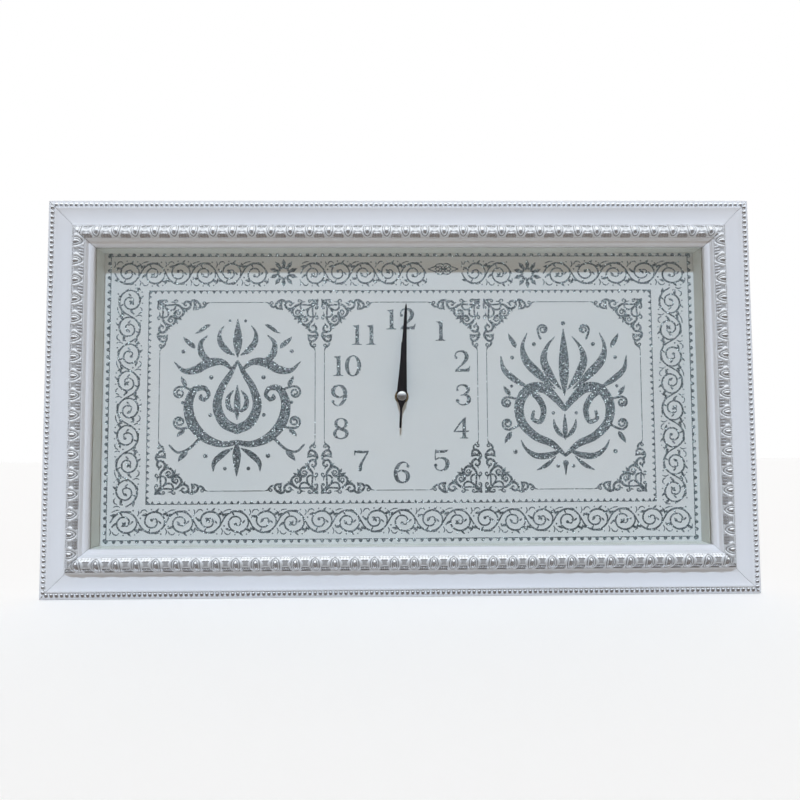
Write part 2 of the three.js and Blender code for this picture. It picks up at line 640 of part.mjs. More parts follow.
function handOutline(length, tail, hole) {
  const w = HAND_W / 2;
  const points = [[-1.0, length - 0.6], [-w, 3.2]];
  if (tail) points.push([-w + 0.6, -1.0], [-1.6, -8.0], [-1.1, -9.5], [-1.1, -tail + 0.9], [-0.5, -tail], [0.5, -tail], [1.1, -tail + 0.9], [1.1, -9.5], [1.6, -8.0], [w - 0.6, -1.0]);
  else points.push([-w, -1.0], [-3.6, -3.9], [0, -w], [3.6, -3.9], [w, -1.0]);
  points.push([w, 3.2], [1.0, length - 0.6], [0, length]);
  return [points, [circle(hole, 20)]];
}
const hourHand = new THREE.Group();
hourHand.rotation.y = (-HOUR_LEAN * Math.PI) / 180;
movement.add(hourHand);
{
  const [outline, holes] = handOutline(HOUR_LEN, 0, R_HOUR[1] + GAP);
  place(hourHand, "hour_hand", plate(outline, HOUR_HAND_D, HOUR_HAND_D + HAND_T, holes), BLACK_PAINT);
}
const minuteHand = new THREE.Group();
minuteHand.rotation.y = (-MINUTE_LEAN * Math.PI) / 180;
movement.add(minuteHand);
{
  const [outline, holes] = handOutline(MINUTE_LEN, MINUTE_TAIL, R_MINUTE[1] + GAP);
  place(minuteHand, "minute_hand", plate(outline, MINUTE_HAND_D, MINUTE_HAND_D + HAND_T, holes), BLACK_PAINT);
}
const domeD = MINUTE_HAND_D + HAND_T + GAP;
const dome = [[1.8, domeD], [4.75, domeD], [4.75, domeD + 1.6]];
for (let i = 1; i <= 6; i++) {
  const a = (Math.PI / 2) * (i / 6);
  dome.push([i === 6 ? 0 : 4.75 * Math.cos(a), domeD + 1.6 + 3.2 * Math.sin(a)]);
}
dome.push([0, domeD + 3.5], [1.8, domeD + 3.2], [1.8, domeD]);
place(
  movement,
  "cap_nut",
  turned([[0, domeD + 3.6], [1.8, domeD + 3.3], ...dome.slice(0, dome.length - 3)], 24),
  CHROME,
);

export default clock;
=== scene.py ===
"""Looks of the wall clock: a deep glazed frame in white with silver ornament, a printed
canvas dial with glitter ink, two black hands, and the quartz movement on the back.

Metres, +Z up. The face looks along -Y, and y = 0 is the wall plane. Lengths that are
written in millimetres are turned into metres where a mesh is made.
"""

import math
import random

import bmesh
import bpy
import numpy as np
from mathutils import Matrix, Vector
from mathutils.geometry import delaunay_2d_cdt

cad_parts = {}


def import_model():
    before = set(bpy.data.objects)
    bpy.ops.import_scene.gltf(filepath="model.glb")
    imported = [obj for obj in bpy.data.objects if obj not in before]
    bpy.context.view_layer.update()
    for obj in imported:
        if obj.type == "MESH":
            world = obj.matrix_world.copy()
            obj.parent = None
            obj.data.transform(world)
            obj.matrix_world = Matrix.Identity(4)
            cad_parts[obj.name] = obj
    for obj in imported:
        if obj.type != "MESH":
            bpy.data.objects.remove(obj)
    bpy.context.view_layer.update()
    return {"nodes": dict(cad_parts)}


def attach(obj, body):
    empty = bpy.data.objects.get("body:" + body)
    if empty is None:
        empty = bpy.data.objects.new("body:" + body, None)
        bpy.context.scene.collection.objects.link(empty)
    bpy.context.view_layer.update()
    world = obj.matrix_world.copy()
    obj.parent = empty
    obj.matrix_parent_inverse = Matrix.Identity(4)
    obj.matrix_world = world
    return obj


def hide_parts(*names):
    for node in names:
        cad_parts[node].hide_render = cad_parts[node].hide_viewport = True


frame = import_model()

MM = 0.001
DIAL_Z = -193.75          # dial centre, mm
ART_D = 22.6              # depth of the sheet's face from the wall, mm
LIP_D = 48.4              # depth of the lip's plane
HALF_W, HALF_H = 308.5, 150.5
RAIL_W = 49.5
MITRE = 0.15 * math.sqrt(2)

# ------------------------------------------------------------------ camera
# Placed so that the lip, the printed lines and the frame's edges fall where the
# photograph shows them.


def turn(axis, angle):
    return Matrix.Rotation(angle, 3, axis)


def camera():
    view = turn("Z", -0.0055) @ turn("X", -0.0595) @ turn("Y", -0.0158)
    right = Vector((view[0][0], view[0][2], -view[0][1]))
    up = Vector((-view[1][0], -view[1][2], view[1][1]))
    ahead = Vector((view[2][0], view[2][2], -view[2][1]))
    data = bpy.data.cameras.new("camera")
    data.sensor_width = 36.0
    data.lens = 30.546
    data.clip_start = 0.01
    data.clip_end = 60
    cam = bpy.data.objects.new("camera", data)
    bpy.context.collection.objects.link(cam)
    place = Matrix((right, up, -ahead)).transposed().to_4x4()
    place.translation = Vector((-0.01283, -0.72547, -0.23924))
    cam.matrix_world = place
    bpy.context.scene.camera = cam


camera()

# ------------------------------------------------------------------ material helpers


class Nodes:
    """A small helper to write node trees."""

    def __init__(self, name):
        self.mat = bpy.data.materials.new(name)
        self.mat.use_nodes = True
        self.tree = self.mat.node_tree
        self.tree.nodes.clear()
        self.out = self.tree.nodes.new("ShaderNodeOutputMaterial")

    def add(self, kind, **props):
        node = self.tree.nodes.new("ShaderNode" + kind)
        for key, value in props.items():
            setattr(node, key, value)
        return node

    def set(self, node, **values):
        for key, value in values.items():
            node.inputs[key.replace("_", " ")].default_value = value
        return node

    def link(self, a, b):
        self.tree.links.new(a, b)

    def coords(self, scale=(1, 1, 1)):
        tex = self.add("TexCoord")
        mapping = self.add("Mapping")
        mapping.inputs["Scale"].default_value = scale
        self.link(tex.outputs["Object"], mapping.inputs["Vector"])
        return mapping.outputs["Vector"]

    def noise(self, vector, scale, detail=4.0, rough=0.55):
        node = self.add("TexNoise")
        node.inputs["Scale"].default_value = scale
        node.inputs["Detail"].default_value = detail
        node.inputs["Roughness"].default_value = rough
        self.link(vector, node.inputs["Vector"])
        return node

    def ramp(self, source, stops):
        node = self.add("ValToRGB")
        ramp = node.color_ramp
        while len(ramp.elements) < len(stops):
            ramp.elements.new(0.5)
        for element, (at, value) in zip(ramp.elements, stops):
            element.position = at
            element.color = (*value, 1) if isinstance(value, tuple) else (value, value, value, 1)
        self.link(source, node.inputs["Fac"])
        return node.outputs["Color"]

    def math(self, op, a, b=None, clamp=False):
        node = self.add("Math", operation=op, use_clamp=clamp)
        for i, value in enumerate((a, b)):
            if value is None:
                continue
            if isinstance(value, (int, float)):
                node.inputs[i].default_value = value
            else:
                self.link(value, node.inputs[i])
        return node.outputs[0]

    def mix(self, fac, a, b, blend="MIX"):
        node = self.add("Mix", data_type="RGBA", blend_type=blend)
        for i, value in ((0, fac), (6, a), (7, b)):
            if isinstance(value, (int, float)):
                node.inputs[i].default_value = value
            elif isinstance(value, tuple):
                node.inputs[i].default_value = (*value, 1)
            else:
                self.link(value, node.inputs[i])
        return node.outputs[2]

    def bump(self, height, distance, strength=1.0, normal=None):
        node = self.add("Bump")
        node.inputs["Distance"].default_value = distance
        node.inputs["Strength"].default_value = strength
        self.link(height, node.inputs["Height"])
        if normal is not None:
            self.link(normal, node.inputs["Normal"])
        return node.outputs["Normal"]

    def principled(self, color, roughness, metallic=0.0, normal=None, **values):
        node = self.add("BsdfPrincipled")
        for key, value in (("Base Color", color), ("Roughness", roughness), ("Metallic", metallic)):
            if isinstance(value, tuple):
                node.inputs[key].default_value = (*value, 1)
            elif isinstance(value, (int, float)):
                node.inputs[key].default_value = value
            else:
                self.link(value, node.inputs[key])
        for key, value in values.items():
            node.inputs[key.replace("_", " ")].default_value = value
        if normal is not None:
            self.link(normal, node.inputs["Normal"])
        self.link(node.outputs[0], self.out.inputs["Surface"])
        return node


def white_lacquer():
    m = Nodes("white_lacquer")
    v = m.coords()
    broad = m.noise(v, 9, 3).outputs["Fac"]
    fine = m.noise(v, 900, 3).outputs["Fac"]
    peel = m.noise(v, 260, 2).outputs["Fac"]
    color = m.mix(m.ramp(broad, [(0.3, 0.0), (0.7, 1.0)]), (0.840, 0.842, 0.860), (0.862, 0.862, 0.878))
    rough = m.math("MULTIPLY_ADD", fine, 0.10)
    m.tree.nodes[-1].inputs[2].default_value = 0.20
    height = m.math("ADD", m.math("MULTIPLY", peel, 0.7), m.math("MULTIPLY", fine, 0.3))
    m.principled(color, rough, 0.0, m.bump(height, 0.00005, 0.30), Coat_Weight=0.15, Coat_Roughness=0.12, Specular_IOR_Level=0.45)
    return m.mat


def silver_foil():
    """Foil over relief. The mesh carries how high each place is, a painted shade that darkens its hollows, and how
    polished it is.
    """
    m = Nodes("silver_foil")
    v = m.coords()
    mottle = m.noise(v, 300, 3, 0.5).outputs["Fac"]
    fine = m.noise(v, 1800, 2).outputs["Fac"]
    shape = m.add("Attribute", attribute_name="relief")
    split = m.add("SeparateColor")
    m.link(shape.outputs["Color"], split.inputs[0])
    tone = m.mix(m.ramp(mottle, [(0.35, 0.0), (0.68, 1.0)]), (0.885, 0.905, 0.925), (0.945, 0.955, 0.965))
    # painted shade: where the mesh's first channel is low, the foil turns dark brown-grey
    color = m.mix(split.outputs[0], (0.17, 0.165, 0.155), tone)
    rough = m.math("MULTIPLY_ADD", mottle, 0.10)
    m.tree.nodes[-1].inputs[2].default_value = 0.17
    m.principled(color, rough, split.outputs[1], m.bump(fine, 0.00001, 0.2), Specular_IOR_Level=0.5)
    return m.mat


def canvas_print():
    m = Nodes("printed_canvas")
    v = m.coords()
    x = m.add("TexWave", wave_type="BANDS", bands_direction="X", wave_profile="SIN")
    z = m.add("TexWave", wave_type="BANDS", bands_direction="Z", wave_profile="SIN")
    for w in (x, z):
        w.inputs["Scale"].default_value = 520
        w.inputs["Distortion"].default_value = 1.2
        w.inputs["Detail"].default_value = 1.5
        w.inputs["Detail Scale"].default_value = 1.4
        m.link(v, w.inputs["Vector"])
    weave = m.math("MULTIPLY", x.outputs["Fac"], z.outputs["Fac"])
    blotch = m.noise(v, 7, 3).outputs["Fac"]
    slub = m.noise(m.coords((1, 1, 14)), 60, 3).outputs["Fac"]
    tone = m.mix(m.ramp(blotch, [(0.35, 0.0), (0.65, 1.0)]), (0.772, 0.785, 0.780), (0.806, 0.805, 0.795))
    tone = m.mix(m.math("MULTIPLY", m.ramp(slub, [(0.45, 0.0), (0.8, 1.0)]), 0.25), tone, (0.70, 0.715, 0.725))
    tone = m.mix(m.math("MULTIPLY", weave, 0.10), tone, (0.62, 0.645, 0.655))
    m.principled(tone, 0.62, 0.0, m.bump(weave, 0.00005, 0.5), Specular_IOR_Level=0.35)
    return m.mat


def glitter_ink():
    m = Nodes("glitter_ink")
    v = m.coords()
    flakes = m.add("TexVoronoi", voronoi_dimensions="3D", feature="F1")
    flakes.inputs["Scale"].default_value = 1500
    m.link(v, flakes.inputs["Vector"])
    big = m.add("TexVoronoi", voronoi_dimensions="3D", feature="F1")
    big.inputs["Scale"].default_value = 960
    m.link(v, big.inputs["Vector"])
    sep = m.add("SeparateColor")
    m.link(flakes.outputs["Color"], sep.inputs[0])
    sep2 = m.add("SeparateColor")
    m.link(big.outputs["Color"], sep2.inputs[0])
    dark = m.ramp(sep.outputs[0], [(0.0, (0.045, 0.053, 0.057)), (0.45, (0.115, 0.131, 0.139)), (0.80, (0.235, 0.258, 0.270)), (1.0, (0.46, 0.49, 0.50))])
    hue = m.ramp(sep2.outputs[1], [(0.0, (0.75, 0.97, 0.99)), (0.35, (1.0, 1.03, 1.02)), (0.7, (1.0, 1.0, 1.02)), (1.0, (1.02, 0.90, 1.06))])
    tinted = m.mix(0.8, dark, hue, "MULTIPLY")
    # the ink looks lighter here and there, and towards the top of the sheet
    wide = m.noise(v, 16, 2).outputs["Fac"]
    place = m.add("SeparateXYZ")
    m.link(v, place.inputs[0])
    high = m.math("MULTIPLY_ADD", place.outputs[2], 1.5)
    m.tree.nodes[-1].inputs[2].default_value = 0.79
    light = m.math("ADD", m.math("MULTIPLY", wide, 1.1), high)
    tinted = m.mix(1.0, tinted, m.ramp(light, [(0.55, 0.80), (1.0, 1.75)]), "MULTIPLY")
    # painted glint: the brightest flakes are painted near white
    glint_flakes = m.ramp(sep2.outputs[0], [(0.965, 0.0), (0.985, 1.0)])
    color = m.mix(glint_flakes, tinted, (0.90, 0.96, 0.98))
    # every flake lies at its own small tilt
    lean = m.add("VectorMath", operation="SUBTRACT")
    m.link(flakes.outputs["Color"], lean.inputs[0])
    lean.inputs[1].default_value = (0.5, 0.5, 0.5)
    scaled = m.add("VectorMath", operation="SCALE")
    m.link(lean.outputs[0], scaled.inputs[0])
    scaled.inputs["Scale"].default_value = 0.7
    geo = m.add("NewGeometry")
    total = m.add("VectorMath", operation="ADD")
    m.link(geo.outputs["Normal"], total.inputs[0])
    m.link(scaled.outputs[0], total.inputs[1])
    unit = m.add("VectorMath", operation="NORMALIZE")
    m.link(total.outputs[0], unit.inputs[0])
    # painted glint: the same flakes also glow faintly, though no lamp lights them
    shader = m.principled(color, 0.34, 0.45, unit.outputs[0], Specular_IOR_Level=0.5, Emission_Strength=0.4)
    m.link(m.mix(glint_flakes, (0.0, 0.0, 0.0), (0.80, 0.95, 1.0)), shader.inputs["Emission Color"])
    return m.mat


def glass():
    m = Nodes("clear_glass")
    v = m.coords()
    smear = m.noise(m.coords((1, 1, 3)), 14, 4, 0.6).outputs["Fac"]
    clear = m.add("BsdfTransparent")
    clear.inputs["Color"].default_value = (0.985, 0.990, 0.985, 1)
    gloss = m.add("BsdfGlossy")
    rough = m.math("MULTIPLY", m.ramp(smear, [(0.4, 0.0), (0.75, 1.0)]), 0.06)
    m.link(rough, gloss.inputs["Roughness"])
    gloss.inputs["Color"].default_value = (1, 1, 1, 1)
    fresnel = m.add("Fresnel")
    fresnel.inputs["IOR"].default_value = 1.5
    # the far face lets everything through, as the pane doesn't bend the rays
    far = m.add("NewGeometry").outputs["Backfacing"]
    share = m.math("MULTIPLY", fresnel.outputs[0], m.math("SUBTRACT", 1.0, far))
    mix = m.add("MixShader")
    m.link(share, mix.inputs[0])
    m.link(clear.outputs[0], mix.inputs[1])
    m.link(gloss.outputs[0], mix.inputs[2])
    m.link(mix.outputs[0], m.out.inputs["Surface"])
    return m.mat


def plain(name, low, high, roughness, metallic=0.0, scale=60.0, bump=0.00003, grain=400.0, strength=0.4, stretch=(1, 1, 1), spread=0.12, **values):
    """A surface whose tone and gloss vary a little, with a fine grain."""
    m = Nodes(name)
    v = m.coords(stretch)
    tone = m.noise(v, scale, 4).outputs["Fac"]
    fine = m.noise(v, grain, 3).outputs["Fac"]
    color = m.mix(m.ramp(tone, [(0.35, 0.0), (0.65, 1.0)]), low, high)
    rough = m.math("MULTIPLY_ADD", fine, spread)
    m.tree.nodes[-1].inputs[2].default_value = max(0.02, roughness - spread / 2)
    m.principled(color, rough, metallic, m.bump(fine, bump, strength), **values)
    return m.mat


def hardboard():
    m = Nodes("hardboard")
    v = m.coords()
    long = m.noise(m.coords((1, 1, 4)), 220, 5, 0.65).outputs["Fac"]
    cross = m.noise(m.coords((4, 1, 1)), 180, 5, 0.65).outputs["Fac"]
    fibre = m.math("MULTIPLY", m.math("ADD", long, cross), 0.5)
    color = m.ramp(fibre, [(0.36, (0.17, 0.095, 0.05)), (0.5, (0.27, 0.165, 0.095)), (0.64, (0.38, 0.25, 0.155))])
    grid = m.add("TexVoronoi", feature="F1")
    grid.inputs["Scale"].default_value = 420
    m.link(v, grid.inputs["Vector"])
    height = m.math("ADD", fibre, m.math("MULTIPLY", grid.outputs["Distance"], 0.5))
    m.principled(color, 0.8, 0.0, m.bump(height, 0.00015, 0.5), Specular_IOR_Level=0.3)
    return m.mat


def windings():
    m = Nodes("copper_wire")
    v = m.coords()
    wave = m.add("TexWave", wave_type="BANDS", bands_direction="X", wave_profile="SIN")
    wave.inputs["Scale"].default_value = 900
    wave.inputs["Distortion"].default_value = 0.6
    m.link(v, wave.inputs["Vector"])
    color = m.ramp(wave.outputs["Fac"], [(0.0, (0.14, 0.045, 0.02)), (1.0, (0.62, 0.26, 0.12))])
    m.principled(color, 0.32, 0.85, m.bump(wave.outputs["Fac"], 0.0001, 0.7))
    return m.mat


def circuit():
    m = Nodes("green_board")
    v = m.coords()
    brick = m.add("TexBrick")
    brick.inputs["Scale"].default_value = 420
    brick.inputs["Mortar Size"].default_value = 0.06
    m.link(v, brick.inputs["Vector"])
    tone = m.noise(v, 300, 3).outputs["Fac"]
    color = m.mix(m.math("MULTIPLY", brick.outputs["Fac"], 0.7), m.ramp(tone, [(0.3, (0.02, 0.12, 0.055)), (0.7, (0.035, 0.18, 0.085))]), (0.45, 0.36, 0.14))
    m.principled(color, 0.4, 0.0, m.bump(brick.outputs["Fac"], 0.00004, 0.4))
    return m.mat


def cell_sleeve():
    """The battery's printed sleeve: two plain tones, and bare metal at its ends."""
    m = Nodes("battery_sleeve")
    tex = m.add("TexCoord")
    xyz = m.add("SeparateXYZ")
    m.link(tex.outputs["Object"], xyz.inputs[0])
    x = m.math("ADD", m.math("MULTIPLY", xyz.outputs[0], 10.0), 0.5)
    fine = m.noise(m.coords(), 500, 2).outputs["Fac"]
    sleeve = m.ramp(x, [(0.0, (0.035, 0.037, 0.042)), (0.596, (0.035, 0.037, 0.042)), (0.600, (0.50, 0.36, 0.12)), (0.735, (0.55, 0.40, 0.14))])
    inside = m.math("MULTIPLY", m.math("GREATER_THAN", x, 0.256), m.math("LESS_THAN", x, 0.734))
    color = m.mix(inside, (0.75, 0.76, 0.77), sleeve)
    m.principled(color, 0.28, m.math("SUBTRACT", 1.0, m.math("MULTIPLY", inside, 0.75)), m.bump(fine, 0.00002, 0.3))
    return m.mat


def hand_paint():
    m = Nodes("black_paint")
    v = m.coords()
    tone = m.noise(m.coords((1, 1, 0.2)), 300, 3).outputs["Fac"]
    fine = m.noise(v, 1800, 2).outputs["Fac"]
    color = m.mix(m.ramp(tone, [(0.3, 0.0), (0.7, 1.0)]), (0.006, 0.005, 0.007), (0.014, 0.010, 0.013))
    rough = m.math("MULTIPLY_ADD", fine, 0.12)
    m.tree.nodes[-1].inputs[2].default_value = 0.24
    m.principled(color, rough, 0.0, m.bump(fine, 0.00001, 0.3), Specular_IOR_Level=0.25)
    return m.mat


WHITE = white_lacquer()
SILVER = silver_foil()
CANVAS = canvas_print()
GLITTER = glitter_ink()
GLASS = glass()
SPACER = plain("spacer_strip", (0.80, 0.815, 0.765), (0.87, 0.885, 0.835), 0.78, 0.0, 30, 0.00008, 700, 0.5)
BOARD = hardboard()
STEEL = plain("plated_steel", (0.50, 0.51, 0.52), (0.66, 0.67, 0.68), 0.36, 1.0, 160, 0.00002, 1600, 0.4)
STAMPED = plain("stamped_steel", (0.42, 0.43, 0.44), (0.60, 0.61, 0.62), 0.42, 1.0, 120, 0.00003, 900, 0.5, (1, 1, 5))
BLACK_PLASTIC = plain("black_plastic", (0.016, 0.016, 0.018), (0.024, 0.024, 0.027), 0.46, 0.0, 80, 0.00004, 1500, 0.6)
WHEEL = plain("white_plastic", (0.74, 0.72, 0.66), (0.80, 0.79, 0.74), 0.42, 0.0, 200, 0.00002, 1200, 0.3)
BRASS = plain("brass", (0.52, 0.41, 0.25), (0.68, 0.55, 0.36), 0.28, 1.0, 260, 0.00002, 1800, 0.4)
RUBBER = plain("black_rubber", (0.012, 0.012, 0.012), (0.022, 0.022, 0.021), 0.85, 0.0, 300, 0.00005, 1500, 0.6)
COPPER = windings()
GREEN = circuit()
SLEEVE = cell_sleeve()
PAINT = hand_paint()
CHROME = plain("chrome", (0.84, 0.85, 0.86), (0.90, 0.91, 0.92), 0.20, 1.0, 200, 0.000005, 1200, 0.2, spread=0.05)


# ------------------------------------------------------------------ mesh helpers


def mesh_object(name, verts, faces, material, body, smooth=None, fix=True):
    """A mesh piece from points in metres, riding on a body of the frame."""
    mesh = bpy.data.meshes.new(name)
    mesh.from_pydata([tuple(v) for v in verts], [], [tuple(f) for f in faces])
    if fix:
        bm = bmesh.new()
        bm.from_mesh(mesh)
        bmesh.ops.recalc_face_normals(bm, faces=bm.faces)
        bm.to_mesh(mesh)
        bm.free()
    mesh.materials.append(material)
    if smooth is not None:
        mesh.polygons.foreach_set("use_smooth", [True] * len(mesh.polygons))
        if smooth < 179:
            mesh.set_sharp_from_angle(angle=math.radians(smooth))
    mesh.update()
    obj = bpy.data.objects.new(name, mesh)
    bpy.context.scene.collection.objects.link(obj)
    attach(obj, body)
    return obj


def smooth_line(points, step):
    """Centripetal Catmull-Rom through the points, sampled about every step."""
    pts = [tuple(p) for p in points]
    ends = [tuple(2 * a - b for a, b in zip(pts[0], pts[1]))], [tuple(2 * a - b for a, b in zip(pts[-1], pts[-2]))]
    pts = ends[0] + pts + ends[1]
    out = []
    for i in range(1, len(pts) - 2):
        p = pts[i - 1:i + 3]
        t = [0.0]
        for a, b in zip(p, p[1:]):
            t.append(t[-1] + max(1e-6, math.dist(a[:2], b[:2])) ** 0.5)
        n = max(1, round(math.dist(p[1][:2], p[2][:2]) / step))
        for k in range(n):
            s = t[1] + (t[2] - t[1]) * k / n
            mixed = []
            for q in zip(*p):
                a1 = ((t[1] - s) * q[0] + (s - t[0]) * q[1]) / (t[1] - t[0])
                a2 = ((t[2] - s) * q[1] + (s - t[1]) * q[2]) / (t[2] - t[1])
                a3 = ((t[3] - s) * q[2] + (s - t[2]) * q[3]) / (t[3] - t[2])
                b1 = ((t[2] - s) * a1 + (s - t[0]) * a2) / (t[2] - t[0])
                b2 = ((t[3] - s) * a2 + (s - t[1]) * a3) / (t[3] - t[1])
                mixed.append(((t[2] - s) * b1 + (s - t[1]) * b2) / (t[2] - t[1]))
            out.append(tuple(mixed))
    out.append(pts[-2])
    return out


# ------------------------------------------------------------------ frame rails
# A section is (u, h): u outward from the sight edge, h above the lip's plane, in mm.

BULGE = smooth_line([(4.6, 3.0), (5.3, 4.9), (6.7, 7.8), (7.8, 10.1), (9.7, 11.95), (12.2, 12.65), (14.5, 12.2), (16.7, 10.95), (18.8, 8.6), (20.6, 5.2), (22.2, 0.6), (23.4, -2.0)], 0.2)
BULGE_U = np.array([p[0] for p in BULGE])
BULGE_H = np.array([p[1] for p in BULGE])
BAND_0, BAND_1 = 7.0, 22.3
SUNK = 3.6


def bulge(u):
    return np.interp(u, BULGE_U, BULGE_H)


def rail_section():
    lip = smooth_line([(0.0, -0.55), (0.2, 0.15), (0.9, 1.15), (1.9, 2.15), (2.7, 2.72)], 0.3)
    groove = smooth_line([(2.95, 2.78), (3.6, 2.98), (4.3, 3.2), (4.6, 3.42)], 0.3)
    rise = smooth_line([(4.72, 3.6), (5.1, 4.3), (5.6, 5.4), (6.3, 6.7), (6.9, 7.2)], 0.3)
    sunk = [(u, float(bulge(u)) - SUNK) for u in np.linspace(6.98, 22.32, 24)]
    cove = smooth_line([(22.34, 0.0), (22.7, -0.75), (23.4, -2.0), (24.8, -3.3), (27.6, -4.1), (31.6, -4.4), (35.6, -4.2), (38.6, -3.6), (40.4, -2.95)], 0.5)
    fillet = [(40.62, -2.86), (40.9, -2.78), (41.9, -2.78), (42.12, -2.86), (42.22, -3.05)]
    channel = [(42.25, -6.6), (47.35, -6.6), (47.38, -5.3)]
    edge = smooth_line([(47.5, -5.2), (48.2, -5.22), (49.0, -5.45), (49.4, -5.8), (49.5, -6.3)], 0.3)
    back = [(49.5, 0.35 - LIP_D), (49.15, 0.0 - LIP_D), (37.3, 0.0 - LIP_D), (37.0, 0.3 - LIP_D), (37.0, 3.7 - LIP_D), (36.7, 4.0 - LIP_D), (6.8, 4.0 - LIP_D), (6.5, 4.3 - LIP_D), (6.5, -4.0), (0.3, -4.0), (0.0, -3.7)]
    return lip + groove + rise + sunk + cove + fillet + channel + edge + back


RAILS = {
    "top": (0, HALF_W, HALF_H),
    "right": (90, HALF_H, HALF_W),
    "bottom": (180, HALF_W, HALF_H),
    "left": (-90, HALF_H, HALF_W),
}


def rail_point(angle, x, up, d):
    """A point of a rail in metres: x along it, up from the dial's centre, d from the wall."""
    c, s = math.cos(math.radians(angle)), math.sin(math.radians(angle))
    return ((x * c + up * s) * MM, -d * MM, (DIAL_Z - x * s + up * c) * MM)


def white_rail(side):
    angle, half, reach = RAILS[side]
    section = rail_section()
    n = len(section)
    verts = []
    for t in (-1, 1):
        for u, h in section:
            verts.append(rail_point(angle, t * (half + u - MITRE), reach + u, LIP_D + h))
    faces = [(i, (i + 1) % n, n + (i + 1) % n, n + i) for i in range(n)]
    faces += [tuple(range(n)), tuple(range(2 * n - 1, n - 1, -1))]
    rail = mesh_object(f"rail_{side}_white", verts, faces, WHITE, "clock_body", 32)
    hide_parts(f"frame_rail_{side}")
    return rail


def ellipse(p, v, a, b):
    """Signed distance, about right, to an ellipse of half axes a and b."""
    r = np.sqrt((p / a) ** 2 + (v / b) ** 2) + 1e-9
    slope = np.sqrt((p / a ** 2) ** 2 + (v / b ** 2) ** 2) / r + 1e-9
    return (r - 1) / slope


def ridge(distance, width, height, base):
    """A round raised line: height in its middle, base beyond its width."""
    t = np.clip(np.abs(distance) / (width / 2), 0, 1)
    return base + (height - base) * np.sqrt(1 - t ** 2)


def soft_step(x, low, high):
    t = np.clip((x - low) / (high - low), 0, 1)
    return t * t * (3 - 2 * t)


EGG_PITCH = 19.2


def egg_and_spool(along, u, first):
    """Relief of the ornament in mm over its bed, its painted shade (dark in the grooves, the comb's cuts and the
    hollow round each egg) and how polished it is.

    first is where an egg's middle is."""
    v = u - 14.6
    p = (along - first + EGG_PITCH / 2) % EGG_PITCH - EGG_PITCH / 2
    s = np.where(p > 0, p - EGG_PITCH / 2, p + EGG_PITCH / 2)
    bed = np.full(np.broadcast(p, v).shape, -0.45)
    # the spool: three lobes towards the sight edge, a bare waist, a bar and a comb
    lobe = np.abs(np.cos(np.clip(s, -4.5, 4.5) * math.pi / 3.0)) ** 0.7
    fan = soft_step(-v, 3.2, 4.2)
    relief = bed + fan * (0.55 + 0.75 * lobe)
    # light is a painted shade: low where grooves and cuts would lie in shade, full on the raised parts
    light = 0.80 + 0 * bed
    light = light * (1 - fan) + fan * (0.66 + 0.34 * lobe)
    comb = soft_step(v, 2.2, 3.0)
    notch = np.abs(np.sin(np.clip(s, -4.2, 4.2) * math.pi / 2.1)) ** 0.8
    cut = notch * soft_step(v, 2.4, 3.2)
    relief = relief + comb * (0.75 - 0.9 * cut)
    # painted shade: the comb's cuts are painted dark
    light = light - 0.68 * cut
    polish = 0.56 + 0.20 * fan + 0.12 * comb + 0 * bed
    bar = ridge(v - 1.7, 0.9, 1.0, 0.0)
    relief = np.maximum(relief, bed + 1.2 * bar)
    light, polish = np.maximum(light, bar), polish - 0.5 * bar
    dot = 1 - soft_step(np.hypot(s, v - 4.2), 0.6, 1.1)
    relief, light, polish = relief + 0.4 * dot, np.maximum(light, dot), polish - 0.45 * dot
    # its two sides curl round the eggs
    waist = 1.9 + 3.1 * np.clip(np.abs(v + 0.8) / 5.2, 0, 1) ** 1.4
    oval = ellipse(p, v - 0.5, 4.5, 7.2)
    inward = np.minimum(np.abs(s) - waist, oval)
    collar = soft_step(inward, -0.15, 0.3)
    relief = relief * (1 - collar) + collar * (0.25 + 0.95 * soft_step(inward, 0.0, 1.3))
    light, polish = light * (1 - collar) + collar, polish * (1 - collar) + 0.34 * collar
    # the egg in its rim
    inside = soft_step(-oval, 0.0, 0.3)
    # painted shade: the hollow round the egg is painted nearly black
    relief = np.where(oval < 0, -0.8, relief)
    light, polish = light * (1 - inside) + 0.12 * inside, polish * (1 - inside) + 0.5 * inside
    inner = ellipse(p, v - 0.6, 3.05, 6.1)
    ring = ridge(inner, 1.35, 1.0, 0.0)
    relief = np.maximum(relief, np.where(np.abs(inner) < 0.8, -0.8 + 2.2 * ring, -9))
    both = np.clip(ring * 1.6, 0, 1)
    light, polish = light * (1 - both) + both, polish * (1 - both) + 0.35 * both
    egg = np.sqrt(np.clip(1 - (p / 1.95) ** 2 - ((v - 0.7) / 5.1) ** 2, 0, 1))
    relief = np.maximum(relief, -0.8 + 3.0 * egg)
    return relief, np.where(egg > 0.1, 0.95, light), np.where(egg > 0.1, 0.80, polish)


